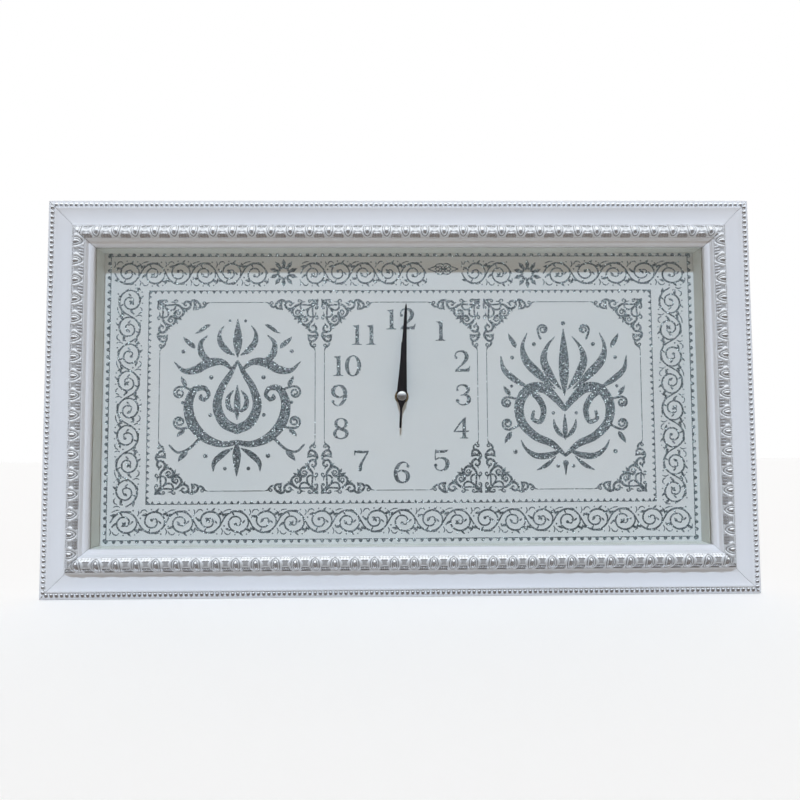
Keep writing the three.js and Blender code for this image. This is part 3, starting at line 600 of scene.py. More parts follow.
def relief_strip(side, name, u0, u1, rows, step, top, bottom):
    """A closed strip along a rail. top and bottom give h from (position, u)."""
    angle, half, reach = RAILS[side]
    count = int(round(2 * (half + u1) / step))
    t = np.linspace(-1, 1, count + 1)[:, None]
    u = np.linspace(u0, u1, rows + 1)[None, :]
    x = t * (half + u - MITRE)
    h, light, polish = top(x, u)
    ub = np.linspace(u0, u1, 7)[None, :]
    xb = t * (half + ub - MITRE)
    hb = bottom(xb, ub)
    c, s = math.cos(math.radians(angle)), math.sin(math.radians(angle))

    def world(x, u, h):
        up = reach + u + 0 * x
        d = LIP_D + h
        return np.stack(np.broadcast_arrays((x * c + up * s) * MM, -d * MM, (DIAL_Z - x * s + up * c) * MM), -1).reshape(-1, 3)

    a, b = rows + 1, 7
    verts = np.concatenate([world(x, u, h), world(xb, ub, hb)])
    base = (count + 1) * a
    i = np.arange(count)
    faces = []
    for grid, width, start in ((rows, a, 0), (6, b, base)):
        j = np.arange(grid)
        q = (start + i[:, None] * width + j[None, :]).reshape(-1)
        quad = np.stack([q, q + width, q + width + 1, q + 1], 1)
        faces.append(quad if start == 0 else quad[:, ::-1])
    for top_j, low_j, flip in ((0, 0, False), (rows, 6, True)):
        q = i * a + top_j
        r = base + i * b + low_j
        quad = np.stack([q, r, r + b, q + a], 1)
        faces.append(quad[:, ::-1] if flip else quad)
    faces = np.concatenate(faces).tolist()
    for k, flip in ((0, False), (count, True)):
        ring = [k * a + j for j in range(a)] + [base + k * b + j for j in range(6, -1, -1)]
        faces.append(ring[::-1] if flip else ring)
    obj = mesh_object(name, verts.tolist(), faces, SILVER, "clock_body", 179, False)
    # the relief attribute holds the painted shade in its first channel and the polish in its second
    colour = np.ones((len(verts), 4))
    colour[:, 1] = 0
    colour[:base, 0], colour[:base, 1] = (np.broadcast_to(a, h.shape).reshape(-1) for a in (light, polish))
    relief = obj.data.color_attributes.new("relief", "FLOAT_COLOR", "POINT")
    relief.data.foreach_set("color", colour.reshape(-1))
    return obj


def silver_band(side, first):
    def top(x, u):
        fade = soft_step(u, BAND_0, BAND_0 + 0.6) * (1 - soft_step(u, BAND_1 - 0.6, BAND_1))
        h, light, polish = egg_and_spool(x, u, first)
        for _ in range(2):
            h[1:-1] = (h[:-2] + 2 * h[1:-1] + h[2:]) / 4
            h[:, 1:-1] = (h[:, :-2] + 2 * h[:, 1:-1] + h[:, 2:]) / 4
        # the painted shade fades to none at the band's edges
        return bulge(u) + fade * (0.72 * h - 1.62) - 0.05, 1 - fade * (1 - light), polish

    return relief_strip(side, f"rail_{side}_ornament", BAND_0, BAND_1, QUICK_ROWS, QUICK_STEP, top, lambda x, u: bulge(u) - SUNK + 0.06 + 0 * x)


BEAD_PITCH = 5.07


def bead_row(side, first):
    def top(x, u):
        p = (x - first + BEAD_PITCH / 2) % BEAD_PITCH - BEAD_PITCH / 2
        w = u - 44.8
        r = (np.abs(p / 1.95) ** 2.5 + np.abs(w / 2.2) ** 2.5) ** (1 / 2.5)
        dome = np.sqrt(np.clip(1 - r ** 2.0, 0, 1))
        return np.where(r < 1, -4.6 + 2.05 * dome, -4.6) + 0 * x, 1.0 + 0 * r, 0.05 + 0.87 * soft_step(1.05 - r, 0.0, 0.1)

    return relief_strip(side, f"rail_{side}_beads", 42.3, 47.3, 16, 0.34, top, lambda x, u: -6.5 + 0 * x + 0 * u)


QUICK_ROWS, QUICK_STEP = 40, 0.4
for side, first, bead in (("top", 4.4, 0.0), ("right", 0.0, 0.0), ("bottom", -10.6, 0.6), ("left", 0.0, 0.0)):
    white_rail(side)
    silver_band(side, first)
    bead_row(side, bead)

# ------------------------------------------------------------------ flat artwork
# Everything printed is made of strokes in mm on the sheet, x right and y up from the
# dial's centre. Strokes of one motif are joined into one thin raised layer of ink.


def disc(x, y, r, n=12):
    return [[(x + r * math.cos(2 * math.pi * i / n), y + r * math.sin(2 * math.pi * i / n)) for i in range(n)]]


def box2(x0, y0, x1, y1):
    return [[(x0, y0), (x1, y0), (x1, y1), (x0, y1)]]


def ribbon(points, step=0.6, caps=True):
    """Quads of a stroke through (x, y, width) points."""
    if len(points) == 2:
        line = [points[0], points[1]]
    else:
        line = smooth_line(points, step)
    left, right = [], []
    for i, (x, y, w) in enumerate(line):
        a, b = line[max(0, i - 1)], line[min(len(line) - 1, i + 1)]
        dx, dy = b[0] - a[0], b[1] - a[1]
        m = math.hypot(dx, dy) or 1e-9
        h = max(w, 0.12) / 2
        left.append((x - dy / m * h, y + dx / m * h))
        right.append((x + dy / m * h, y - dx / m * h))
    out = []
    for i in range(len(line) - 1):
        out.append([left[i], right[i], right[i + 1]])
        out.append([left[i], right[i + 1], left[i + 1]])
    if caps:
        for x, y, w in (line[0], line[-1]):
            if w > 0.5:
                out += disc(x, y, w / 2, 10 if w < 3 else 18)
    return out


def tendril(x, y, angle, stem, radius, way, width):
    """A stem that ends in a curl."""
    angle, step = math.radians(angle), 0.5
    total = stem + radius * 6.6
    line = [(x, y, width)]
    for i in range(1, int(total / step) + 1):
        s = i * step
        curve = 0.3 / stem if s < stem else 1 / (radius * (1.15 - 0.78 * (s - stem) / (total - stem)))
        angle += way * curve * step
        x, y = x + step * math.cos(angle), y + step * math.sin(angle)
        line.append((x, y, width * (1 - 0.25 * s / total)))
    return ribbon(line, 0.6) + disc(x, y, width * 0.62, 12)


def leaf(x, y, angle, length, width, bend=0.0):
    """A pointed leaf from its foot (x, y), leaning by bend."""
    line = []
    for i in range(8):
        t = i / 7
        w = width * math.sin(math.pi * t ** 0.75) ** 0.8 if 0 < i < 7 else 0.15
        line.append((t * length, bend * length * math.sin(math.pi * t / 2) ** 2 * 0.5, max(w, 0.15)))
    c, s = math.cos(angle), math.sin(angle)
    return ribbon([(x + c * a - s * b, y + s * a + c * b, w) for a, b, w in line], caps=False)


def mapped(polys, f):
    return [[f(x, y) for x, y in p] for p in polys]


def moved(polys, dx=0.0, dy=0.0, sx=1.0, sy=1.0):
    return mapped(polys, lambda x, y: (dx + x * sx, dy + y * sy))


def both_sides(polys):
    return polys + mapped(polys, lambda x, y: (-x, y))


def union(polys):
    """Points and triangles that cover what the polygons cover, with nothing doubled."""
    index, verts, faces = {}, [], []
    for poly in polys:
        area = sum(a[0] * b[1] - b[0] * a[1] for a, b in zip(poly, poly[1:] + poly[:1])) / 2
        if abs(area) < 1e-4:
            continue
        face = []
        for x, y in poly if area > 0 else reversed(poly):
            key = (round(x, 2), round(y, 2))
            if key not in index:
                index[key] = len(verts)
                verts.append(Vector(key))
            if not face or face[-1] != index[key]:
                face.append(index[key])
        if face[0] == face[-1]:
            face.pop()
        if len(face) > 2 and len(set(face)) == len(face):
            faces.append(face)
    points, _, tris, _, _, owners = delaunay_2d_cdt(verts, [], faces, 0, 1e-4)
    return [(p.x, p.y) for p in points], [tuple(t) for t, o in zip(tris, owners) if o]


class Sheet:
    """Collects joined layers and turns them into one closed, slightly raised piece."""

    def __init__(self):
        self.points, self.tris = [], []

    def add(self, layer, f=lambda x, y: (x, y)):
        points, tris = layer
        start = len(self.points)
        self.points += [f(x, y) for x, y in points]
        self.tris += [tuple(start + i for i in t) for t in tris]

    def piece(self, name, low=ART_D - 0.05, high=ART_D + 0.14):
        tris = []
        for a, b, c in self.tris:
            (ax, ay), (bx, by), (cx, cy) = (self.points[i] for i in (a, b, c))
            area = (bx - ax) * (cy - ay) - (by - ay) * (cx - ax)
            tris.append((a, b, c) if area > 0 else (a, c, b))
        used = sorted({i for t in tris for i in t})
        place = {i: k for k, i in enumerate(used)}
        n = len(used)
        verts = [(self.points[i][0] * MM, -high * MM, (DIAL_Z + self.points[i][1]) * MM) for i in used]
        verts += [(x, -low * MM, z) for x, _, z in verts]
        edges = {}
        faces = []
        for t in tris:
            a, b, c = (place[i] for i in t)
            faces.append((a, b, c))
            faces.append((n + a, n + c, n + b))
            for e in ((a, b), (b, c), (c, a)):
                edges[e] = edges.get(e, 0) + 1
        for (a, b), count in edges.items():
            if (b, a) not in edges:
                faces.append((b, a, n + a, n + b))
        return mesh_object(name, verts, faces, GLITTER, "clock_body", None, False)


def oval_ring(cx, cy, ax, ay, bx, by, n=44, dx=0.0, dy=0.0):
    out = []
    for i in range(n):
        a0, a1 = 2 * math.pi * i / n, 2 * math.pi * (i + 1) / n
        out.append([
            (cx + ax * math.cos(a0), cy + ay * math.sin(a0)),
            (cx + ax * math.cos(a1), cy + ay * math.sin(a1)),
            (cx + dx + bx * math.cos(a1), cy + dy + by * math.sin(a1)),
            (cx + dx + bx * math.cos(a0), cy + dy + by * math.sin(a0)),
        ])
    return out


def glyph(ch):
    """A digit of a plain book face: its width, and its strokes, about 22 mm tall."""
    if ch == "1":
        return 10.2, (box2(3.5, 0.5, 7.4, 20.2) + box2(0.0, 0, 10.2, 0.85) + [[(1.9, 0.85), (8.9, 0.85), (7.4, 2.2), (3.5, 2.2)]]
                + [[(7.4, 16.5), (7.4, 21.1), (6.9, 21.1), (5.0, 20.6), (0.8, 20.3), (0.8, 19.6), (2.2, 19.2), (3.1, 18.2), (3.5, 16.5)]])
    if ch == "0":
        return 17.0, oval_ring(8.5, 10.6, 8.5, 11.05, 4.3, 9.85)
    if ch == "8":
        return 16.1, (oval_ring(8.3, 16.4, 7.1, 5.6, 3.7, 4.5) + oval_ring(8.05, 5.9, 8.05, 5.9, 4.6, 4.65)
                + ribbon([(2.6, 14.2, 2.6), (5.2, 12.2, 3.2), (8.6, 10.6, 3.2), (12.4, 8.8, 3.2), (14.2, 6.8, 2.8)], caps=False))
    if ch == "3":
        return 16.1, (ribbon([(1.3, 16.2, 1.5), (2.0, 19.0, 1.5), (4.2, 20.8, 1.3), (7.4, 21.2, 1.5), (11.0, 20.0, 3.0), (13.0, 16.9, 3.9), (11.6, 13.2, 3.0), (8.6, 11.2, 1.7), (5.4, 10.5, 1.0)])
                + ribbon([(5.4, 10.5, 1.0), (9.6, 10.9, 1.6), (12.8, 9.2, 3.4), (13.9, 6.0, 4.3), (12.6, 2.7, 3.4), (9.6, 0.8, 1.7), (6.4, 0.6, 1.3), (3.2, 1.9, 1.4), (1.7, 4.0, 1.8)])
                + disc(1.9, 15.9, 1.25, 16) + disc(1.95, 4.9, 1.9, 18))
    if ch == "2":
        return 16.8, (ribbon([(1.3, 14.9, 1.6), (0.95, 17.0, 1.3), (2.6, 20.2, 1.5), (6.6, 21.5, 1.6), (11.0, 20.2, 3.2), (13.0, 16.4, 4.2), (12.2, 12.6, 3.8), (9.2, 8.5, 2.3), (5.0, 4.7, 1.6), (1.6, 1.3, 1.4)])
                + [[(0.4, 0), (15.6, 0), (16.8, 6.1), (16.1, 6.1), (15.0, 4.2), (13.6, 3.2), (10.0, 2.8), (6.0, 2.9), (2.8, 3.1)]]
                + disc(2.0, 14.7, 1.5, 16))
    if ch == "4":
        return 16.1, (box2(9.3, 0.5, 12.8, 19.8) + box2(6.7, 0, 15.2, 0.95) + [[(8.0, 0.95), (14.0, 0.95), (12.8, 2.5), (9.3, 2.5)]]
                + [[(0.0, 6.7), (14.2, 6.6), (16.1, 7.4), (16.1, 8.3), (14.0, 8.1), (0.4, 8.2)]] + ribbon([(12.2, 21.0, 1.8), (9.6, 19.0, 1.7), (1.0, 7.6, 1.6)], caps=False)
                + [[(9.6, 19.0), (12.8, 19.0), (13.2, 21.9), (12.4, 21.9), (11.4, 20.9)]])
    if ch == "5":
        return 16.1, (ribbon([(1.9, 21.8, 1.2), (1.4, 16.0, 1.1), (1.6, 11.7, 1.2)])
                + [[(1.4, 22.0), (2.6, 21.5), (8.0, 21.4), (15.2, 22.0), (13.6, 19.8), (10.6, 18.7), (6.0, 18.8), (2.0, 18.5)]]
                + ribbon([(1.6, 11.7, 1.2), (4.4, 13.2, 1.4), (8.4, 13.6, 1.9), (12.6, 11.6, 3.6), (14.0, 7.6, 4.4), (12.6, 3.2, 3.6), (8.6, 0.7, 1.6), (4.9, 0.9, 1.2), (2.2, 2.8, 1.5), (1.5, 4.8, 2.0)])
                + disc(1.8, 5.9, 1.75, 18))
    if ch == "7":
        return 15.2, (ribbon([(0.5, 16.4, 1.0), (0.6, 19.0, 1.4), (1.6, 20.3, 2.4), (4.6, 20.2, 2.9), (9.0, 20.0, 2.6), (12.6, 20.2, 2.0), (15.0, 21.2, 0.9)], caps=False)
                + box2(0.0, 18.6, 0.8, 21.6)
                + ribbon([(14.6, 20.8, 1.0), (13.2, 18.2, 1.5), (10.6, 13.8, 1.9), (8.0, 9.3, 2.7), (6.5, 5.2, 3.7), (6.0, 2.2, 4.0)], caps=False) + disc(6.0, 2.05, 2.0, 18))
    if ch == "6":
        return 17.0, (ribbon([(14.9, 17.6, 1.6), (13.9, 20.0, 1.4), (10.2, 21.6, 1.5), (6.4, 19.9, 2.8), (3.4, 15.8, 3.9), (2.1, 10.8, 4.2), (2.9, 5.6, 4.2), (5.4, 1.9, 3.0), (9.2, 0.5, 1.4)])
                + ribbon([(3.0, 10.6, 1.4), (6.4, 12.7, 1.7), (10.2, 12.6, 2.3), (13.8, 10.4, 3.8), (14.9, 6.6, 4.2), (13.2, 2.6, 3.2), (9.2, 0.5, 1.4)])
                + disc(14.9, 17.4, 1.6, 16))
    width, strokes = glyph("6")
    return width, mapped(strokes, lambda x, y: (width - x, 21.9 - y))


def numeral(n):
    x, out = 0.0, []
    for i, ch in enumerate(str(n)):
        width, strokes = glyph(ch)
        if i:
            x += {10: 1.7, 11: 4.6, 12: 3.7}[n]
        out += moved(strokes, x)
        x += width
    return moved(out, -x / 2, -10.85)


NUMERALS = {
    12: (-0.2, 81.1), 1: (41.0, 69.0), 2: (63.4, 36.5), 3: (64.2, 1.4), 4: (61.6, -33.0), 5: (41.0, -66.4),
    6: (-0.2, -78.6), 7: (-41.7, -66.3), 8: (-63.0, -33.1), 9: (-64.7, 1.5), 10: (-56.3, 32.5), 11: (-38.9, 65.0),
}


def border(half_w, half_h, cx, cy, across_n, down_n, outward, tooth_w, tooth_h, line):
    """A thin frame line with a row of teeth along it, so many across and so many down."""
    out = []
    for sign in (-1, 1):
        out += box2(cx - half_w - line / 2, cy + sign * half_h - line / 2, cx + half_w + line / 2, cy + sign * half_h + line / 2)
        out += box2(cx + sign * half_w - line / 2, cy - half_h, cx + sign * half_w + line / 2, cy + half_h)

    def tooth(x, y, dx, dy):
        w, h = tooth_w / 2, tooth_h
        if outward:
            pts = [(-w, 0), (w, 0), (w * 0.97, h * 0.35), (w * 0.8, h * 0.7), (w * 0.4, h * 0.94), (0, h), (-w * 0.4, h * 0.94), (-w * 0.8, h * 0.7), (-w * 0.97, h * 0.35)]
        else:
            pts = [(-w, 0), (w, 0), (w * 0.62, h * 0.42), (w * 0.22, h * 0.94), (0, h), (-w * 0.22, h * 0.94), (-w * 0.62, h * 0.42)]
        return [[(x - dy * a + dx * b, y + dx * a + dy * b) for a, b in pts]]

    way = 1 if outward else -1
    for along, across, n, level in ((half_w, half_h, across_n, True), (half_h, half_w, down_n, False)):
        for i in range(n + 1):
            if not outward and i in (0, n):
                continue
            a = -along + 2 * along * i / n
            for side in (-1, 1):
                if level:
                    out += tooth(cx + a, cy + side * across, 0, side * way)
                else:
                    out += tooth(cx + side * across, cy + a, side * way, 0)
    for sx in (-1, 1):
        for sy in (-1, 1):
            x, y = cx + sx * half_w, cy + sy * half_h
            if outward:
                out += disc(x + sx * tooth_h * 0.35, y + sy * tooth_h * 0.35, tooth_h * 0.55, 12)
            else:
                out += [[(x, y), (x - sx * 5.4, y), (x - sx * 3.4, y - sy * 1.6), (x - sx * 1.6, y - sy * 3.4), (x, y - sy * 5.4)]]
    return out


# a corner scroll in twentieths of a millimetre from the corner of its panel's lines, y down;
# every stroke is drawn on both sides of the diagonal
CORNER = [
    [(48, 48, 30), (66, 64, 50), (88, 86, 66), (120, 118, 56), (160, 156, 56), (186, 184, 36)],
    [(52, 118, 22), (70, 102, 40), (90, 90, 40)],
    [(100, 78, 36), (120, 66, 32), (160, 54, 30), (203, 47, 24), (236, 62, 22), (233, 92, 20), (208, 98, 18), (194, 80, 12)],
    [(165, 152, 26), (230, 156, 26), (300, 154, 26), (370, 150, 26), (430, 148, 30), (470, 158, 34), (512, 184, 36), (556, 230, 42), (582, 282, 44), (572, 338, 38), (540, 380, 32), (500, 402, 32), (452, 404, 40)],
    [(190, 186, 26), (236, 232, 30), (280, 256, 28), (330, 264, 28), (376, 250, 28), (404, 214, 28), (412, 168, 26), (410, 132, 26)],
    [(408, 140, 26), (398, 112, 26), (384, 86, 26), (396, 58, 22), (424, 44, 20), (453, 60, 20), (448, 86, 16), (424, 90, 10)],
    [(300, 82, 5), (335, 90, 15), (372, 92, 22), (392, 106, 20)],
    [(428, 418, 44), (400, 372, 42), (396, 326, 40), (424, 290, 38), (458, 268, 28), (486, 236, 6)],
    [(466, 268, 22), (496, 286, 26), (506, 322, 22), (486, 350, 19), (456, 350, 17), (446, 330, 14), (458, 314, 10)],
    [(430, 408, 44), (476, 430, 40), (516, 446, 28), (548, 462, 6)],
    [(598, 244, 38), (650, 238, 38), (696, 212, 36), (724, 168, 34), (722, 122, 34), (690, 90, 38), (640, 80, 34), (600, 104, 30), (592, 140, 28), (612, 168, 22), (638, 158, 15), (632, 140, 9)],
    [(530, 105, 5), (556, 116, 17), (592, 130, 26)],
    [(588, 232, 40), (624, 262, 34), (655, 302, 8)],
    [(722, 104, 34), (738, 76, 34), (780, 53, 34), (830, 62, 34), (880, 96, 34), (916, 140, 34), (920, 190, 34), (892, 224, 32), (848, 238, 28), (800, 242, 22), (772, 264, 6)],
    [(790, 78, 16), (802, 118, 28), (813, 150, 32), (802, 190, 28), (790, 236, 22)],
    [(806, 96, 13), (828, 86, 13), (846, 104, 13), (828, 126, 13)],
    [(812, 170, 13), (838, 164, 13), (852, 188, 13), (832, 208, 13), (812, 196, 13)],
    [(918, 182, 30), (960, 202, 30), (1000, 188, 32), (1034, 150, 32), (1066, 118, 22), (1142, 96, 5)],
    [(1040, 122, 20), (1024, 94, 18), (996, 89, 18), (980, 112, 18), (991, 136, 16), (1012, 134, 11)],
]


def corner_scroll():
    """A scrolled corner ornament, alike on both sides of its diagonal."""
    out = []
    for stroke in CORNER:
        points = [((x - 100) / 20, (100 - y) / 20, w * 0.070) for x, y, w in stroke]
        out += ribbon(points, 0.5)
        out += ribbon([(-y, -x, w) for x, y, w in points], 0.5)
    return out


def rosette():
    out = []
    for k in range(10):
        for turned, points in (
            (0.0, [(6.6, 0, 1.8), (8.0, 0, 2.6), (9.6, 0, 4.0), (11.0, 0, 4.2), (12.4, 0.1, 2.9), (13.6, 0.2, 1.5), (15.0, 0.25, 0.4)]),
            (0.5, [(8.6, -2.0, 1.5), (6.4, -1.3, 1.9), (5.2, 0, 2.1), (6.4, 1.3, 1.9), (8.6, 2.0, 1.5)]),
        ):
            a = math.pi / 2 + 2 * math.pi * (k + turned) / 10
            c, s = math.cos(a), math.sin(a)
            out += ribbon([(c * r - s * t, s * r + c * t, w) for r, t, w in points], 0.5, False)
    return out


def medallion():
    half = ribbon([(0, 4.9, 1.2), (3.2, 5.7, 1.4), (6.6, 4.6, 1.4), (8.6, 2.6, 1.3), (10.6, 2.0, 1.1), (13.4, 0.9, 1.1), (14.8, 0, 1.1)], 0.5)
    half += ribbon([(0, 4.6, 1.0), (0.9, 2.6, 0.9), (2.6, 0.5, 0.9), (5.0, -1.8, 0.9), (7.4, -2.5, 0.9), (8.8, -2.4, 0.9)], 0.5)
    half += ribbon([(8.2, 0.2, 0.9), (5.8, 2.1, 0.9), (3.0, 3.1, 0.9), (0.8, 0.5, 0.9), (0, -0.8, 0.8)], 0.5)
    out = []
    for sx in (-1, 1):
        for sy in (-1, 1):
            out += moved(half, 0, 0, sx, sy)
        out += disc(sx * 2.6, 0, 1.3) + disc(sx * 15.3, 0, 0.8)
    return out


def vine_unit(kind):
    """Half a wave of the running scroll, 30 mm long, its coil above the stem."""
    out = ribbon([(-15, 0, 1.5), (-10.6, -6.4, 1.8), (-2.6, -10.6, 2.1), (6.4, -9.4, 1.9), (12.4, -4.2, 1.7), (15, 0, 1.5)], 0.9)
    out += ribbon([(12.4, -4.0, 1.3), (13.2, 2.6, 1.6), (8.6, 8.8, 1.9), (0.8, 10.4, 2.0), (-6.2, 6.6, 1.9), (-7.8, 0.0, 1.8), (-3.6, -4.9, 1.7), (2.8, -4.6, 1.6), (5.6, -0.4, 1.5), (3.6, 3.6, 1.4), (-0.2, 3.2, 1.2)], 0.9)
    if kind % 3 == 0:
        out += leaf(-0.2, 3.2, math.radians(215), 5.2, 3.0, 0.5) + leaf(-7.0, 4.6, math.radians(150), 6.6, 2.7, 0.5)
    elif kind % 3 == 1:
        for a in (150, 215, 280):
            out += leaf(0.3, 2.6, math.radians(a), 3.8, 2.4, 0.3)
        out += leaf(-8.0, 1.0, math.radians(170), 5.8, 2.6, -0.6)
    else:
        out += disc(-0.6, 2.4, 1.7, 12) + leaf(-5.0, 8.0, math.radians(170), 6.4, 2.7, 0.6)
    out += leaf(10.6, 6.6, math.radians(48), 6.6, 2.7, -0.6) + leaf(3.2, 10.4, math.radians(20), 5.4, 2.2, 0.7)
    out += leaf(-9.0, -7.4, math.radians(200), 6.0, 2.6, -0.8) + leaf(1.6, -10.6, math.radians(-25), 5.8, 2.3, 0.8)
    out += ribbon([(-12.6, 9.6, 1.0), (-11.0, 12.0, 1.3), (-7.6, 12.6, 1.1), (-5.8, 10.9, 0.8)])
    out += ribbon([(13.6, 11.0, 0.8), (15.6, 9.0, 1.3), (16.0, 5.6, 0.9)])
    out += disc(-12.8, 4.2, 0.95) + disc(-1.0, 13.0, 0.8) + disc(9.4, -12.0, 0.85)
    if kind % 2:
        out += ribbon([(-13.2, -10.6, 0.9), (-9.4, -12.2, 1.2), (-5.6, -12.6, 0.8)])
    out += ribbon([(-15.4, 12.6, 0.9), (-14.4, 9.4, 1.3), (-15.8, 6.6, 0.9)]) + disc(4.6, 0.4, 0.8) + disc(11.4, 12.6, 0.75)
    out += leaf(9.6, -1.6, math.radians(120), 4.6, 1.9, 0.4) + leaf(-4.2, -9.9, math.radians(75), 4.4, 1.8, -0.5)
    return moved(out, 0, 0, 1, -1 if kind % 2 else 1)


def bold_left():
    h = ribbon([(0, -34, 9.5), (13, -27, 10.5), (20.5, -10, 9.5), (16, 9, 7.5), (7, 24, 5.5), (0, 37, 2.2)])
    h += ribbon([(0.6, -17, 1.2), (8.4, -11, 5.2), (9.2, -1, 4.4), (4.0, 6.5, 1.0)], caps=False)
    h += ribbon([(0, -47, 5), (15, -49, 6.5), (33, -42, 9.5), (46, -27, 11), (50, -7, 9.5), (43, 8, 7), (33, 8.5, 5), (29.5, 1.5, 4), (34, -3.5, 3.6)])
    h += ribbon([(34, -3.5, 3.6), (37.5, -1, 4.6), (37.0, 2.0, 2.0)])
    h += ribbon([(6, 29, 3), (16, 36, 6.5), (30, 35, 9.5), (43, 28, 8.5), (55, 27, 5), (65, 36, 1.0)])
    h += ribbon([(29, 36, 6), (37, 45, 7), (38, 56, 4.5), (31, 64, 1.0)], caps=False)
    h += ribbon([(3, 43, 1.0), (11, 48, 6), (18, 57, 6), (18.5, 67, 3), (14, 74, 0.9)], caps=False)
    h += ribbon([(4, -53, 1.0), (14, -59, 6), (23, -68, 5), (24, -77, 0.9)], caps=False)
    h += tendril(48, -31, -18, 11, 6.0, 1, 2.6)
    h += ribbon([(38, -43, 3.2), (50, -54, 2.6), (61, -57, 2.4), (69, -50, 2.0)])
    h += leaf(51, -54.5, math.radians(-65), 15, 5.6, 0.4) + leaf(54, -33, math.radians(-62), 11, 4.6, 0.5)
    h += tendril(47, 7, 26, 12, 5.8, -1, 2.4)
    h += leaf(53, 10, math.radians(82), 12, 4.6, -0.5) + leaf(44, 50, math.radians(60), 17, 5.2, -0.5)
    h += leaf(28, 75, math.radians(-12), 18, 4.0, -0.6)
    for x, y, r in ((27, 20, 2.3), (56, 47, 2.1), (32, -61, 2.4), (12, -74, 1.9), (27.5, -19, 2.0), (56, -6, 1.8), (8, 79, 1.6)):
        h += disc(x, y, r, 16)
    out = both_sides(h)
    out += ribbon([(0, -24, 1), (0, -14, 6), (0, -3, 6.5), (0, 12, 1.0)], caps=False)
    out += ribbon([(0, 41, 1), (0, 52, 8), (0, 61, 9.5), (0, 70, 6), (0, 81, 0.8)], caps=False)
    out += ribbon([(0, -48, 3), (0, -59, 8.5), (0, -68, 7), (0, -82, 0.8)], caps=False)
    return out


def bold_right():
    h = ribbon([(0, -14, 5), (9, -3, 8), (22, 8, 10.5), (37, 7, 10.5), (47, -8, 10), (45, -27, 9.5), (31, -42, 8.5), (14, -50, 7), (0, -62, 3)])
    h += ribbon([(36, 5, 6), (27, -3, 6.5), (22, -15, 6), (26, -27, 5), (33.5, -24, 4.2), (32.5, -16.5, 3)])
    h += ribbon([(3, 6, 1.0), (15, 22, 8), (21, 38, 7.5), (17, 52, 3.5), (9, 62, 0.9)], caps=False)
    h += ribbon([(9, 7, 1.0), (28, 24, 9), (40, 38, 8), (43, 52, 4), (38, 66, 0.9)], caps=False)
    h += ribbon([(37, 8, 2), (53, 18, 6.5), (63, 28, 5), (66, 42, 0.9)], caps=False)
    h += ribbon([(0.8, -44, 1.0), (6.4, -38.5, 4.6), (10.6, -31, 3.6), (11.6, -24.5, 0.9)], caps=False)
    h += ribbon([(3, -56, 1.4), (18, -62, 6.5), (31, -62, 6), (42, -54, 3), (46, -46, 1.0)], caps=False)
    h += ribbon([(10, -63, 1.0), (20, -72, 4.4), (30, -77, 0.9)], caps=False)
    h += tendril(47, -30, -34, 12, 5.6, 1, 2.6)
    h += leaf(56, -37, math.radians(-72), 14, 5.2, 0.4)
    h += tendril(48, -4, 22, 12, 5.2, -1, 2.6)
    h += leaf(57, 0, math.radians(74), 12, 4.8, -0.5)
    h += tendril(24, 60, 62, 9, 5.0, 1, 2.4)
    h += leaf(50, 50, math.radians(75), 17, 5.0, -0.4)
    for x, y, r in ((31, 54, 2.1), (54, 40, 2.0), (52, -58, 2.3), (8, -73, 1.9), (12, -18, 1.8), (55, 10, 1.7)):
        h += disc(x, y, r, 16)
    out = both_sides(h)
    out += ribbon([(0, 0, 1), (0, 20, 9.5), (0, 36, 10.5), (0, 52, 7), (0, 70, 0.9)], caps=False)
    out += ribbon([(0, -46, 1), (0, -37, 5.2), (0, -29, 4.2), (0, -19, 0.9)], caps=False)
    out += disc(0, 76, 2.3, 16) + disc(0, -70, 3.2, 18) + ribbon([(0, -72, 4), (0, -82, 0.8)], caps=False)
    return out


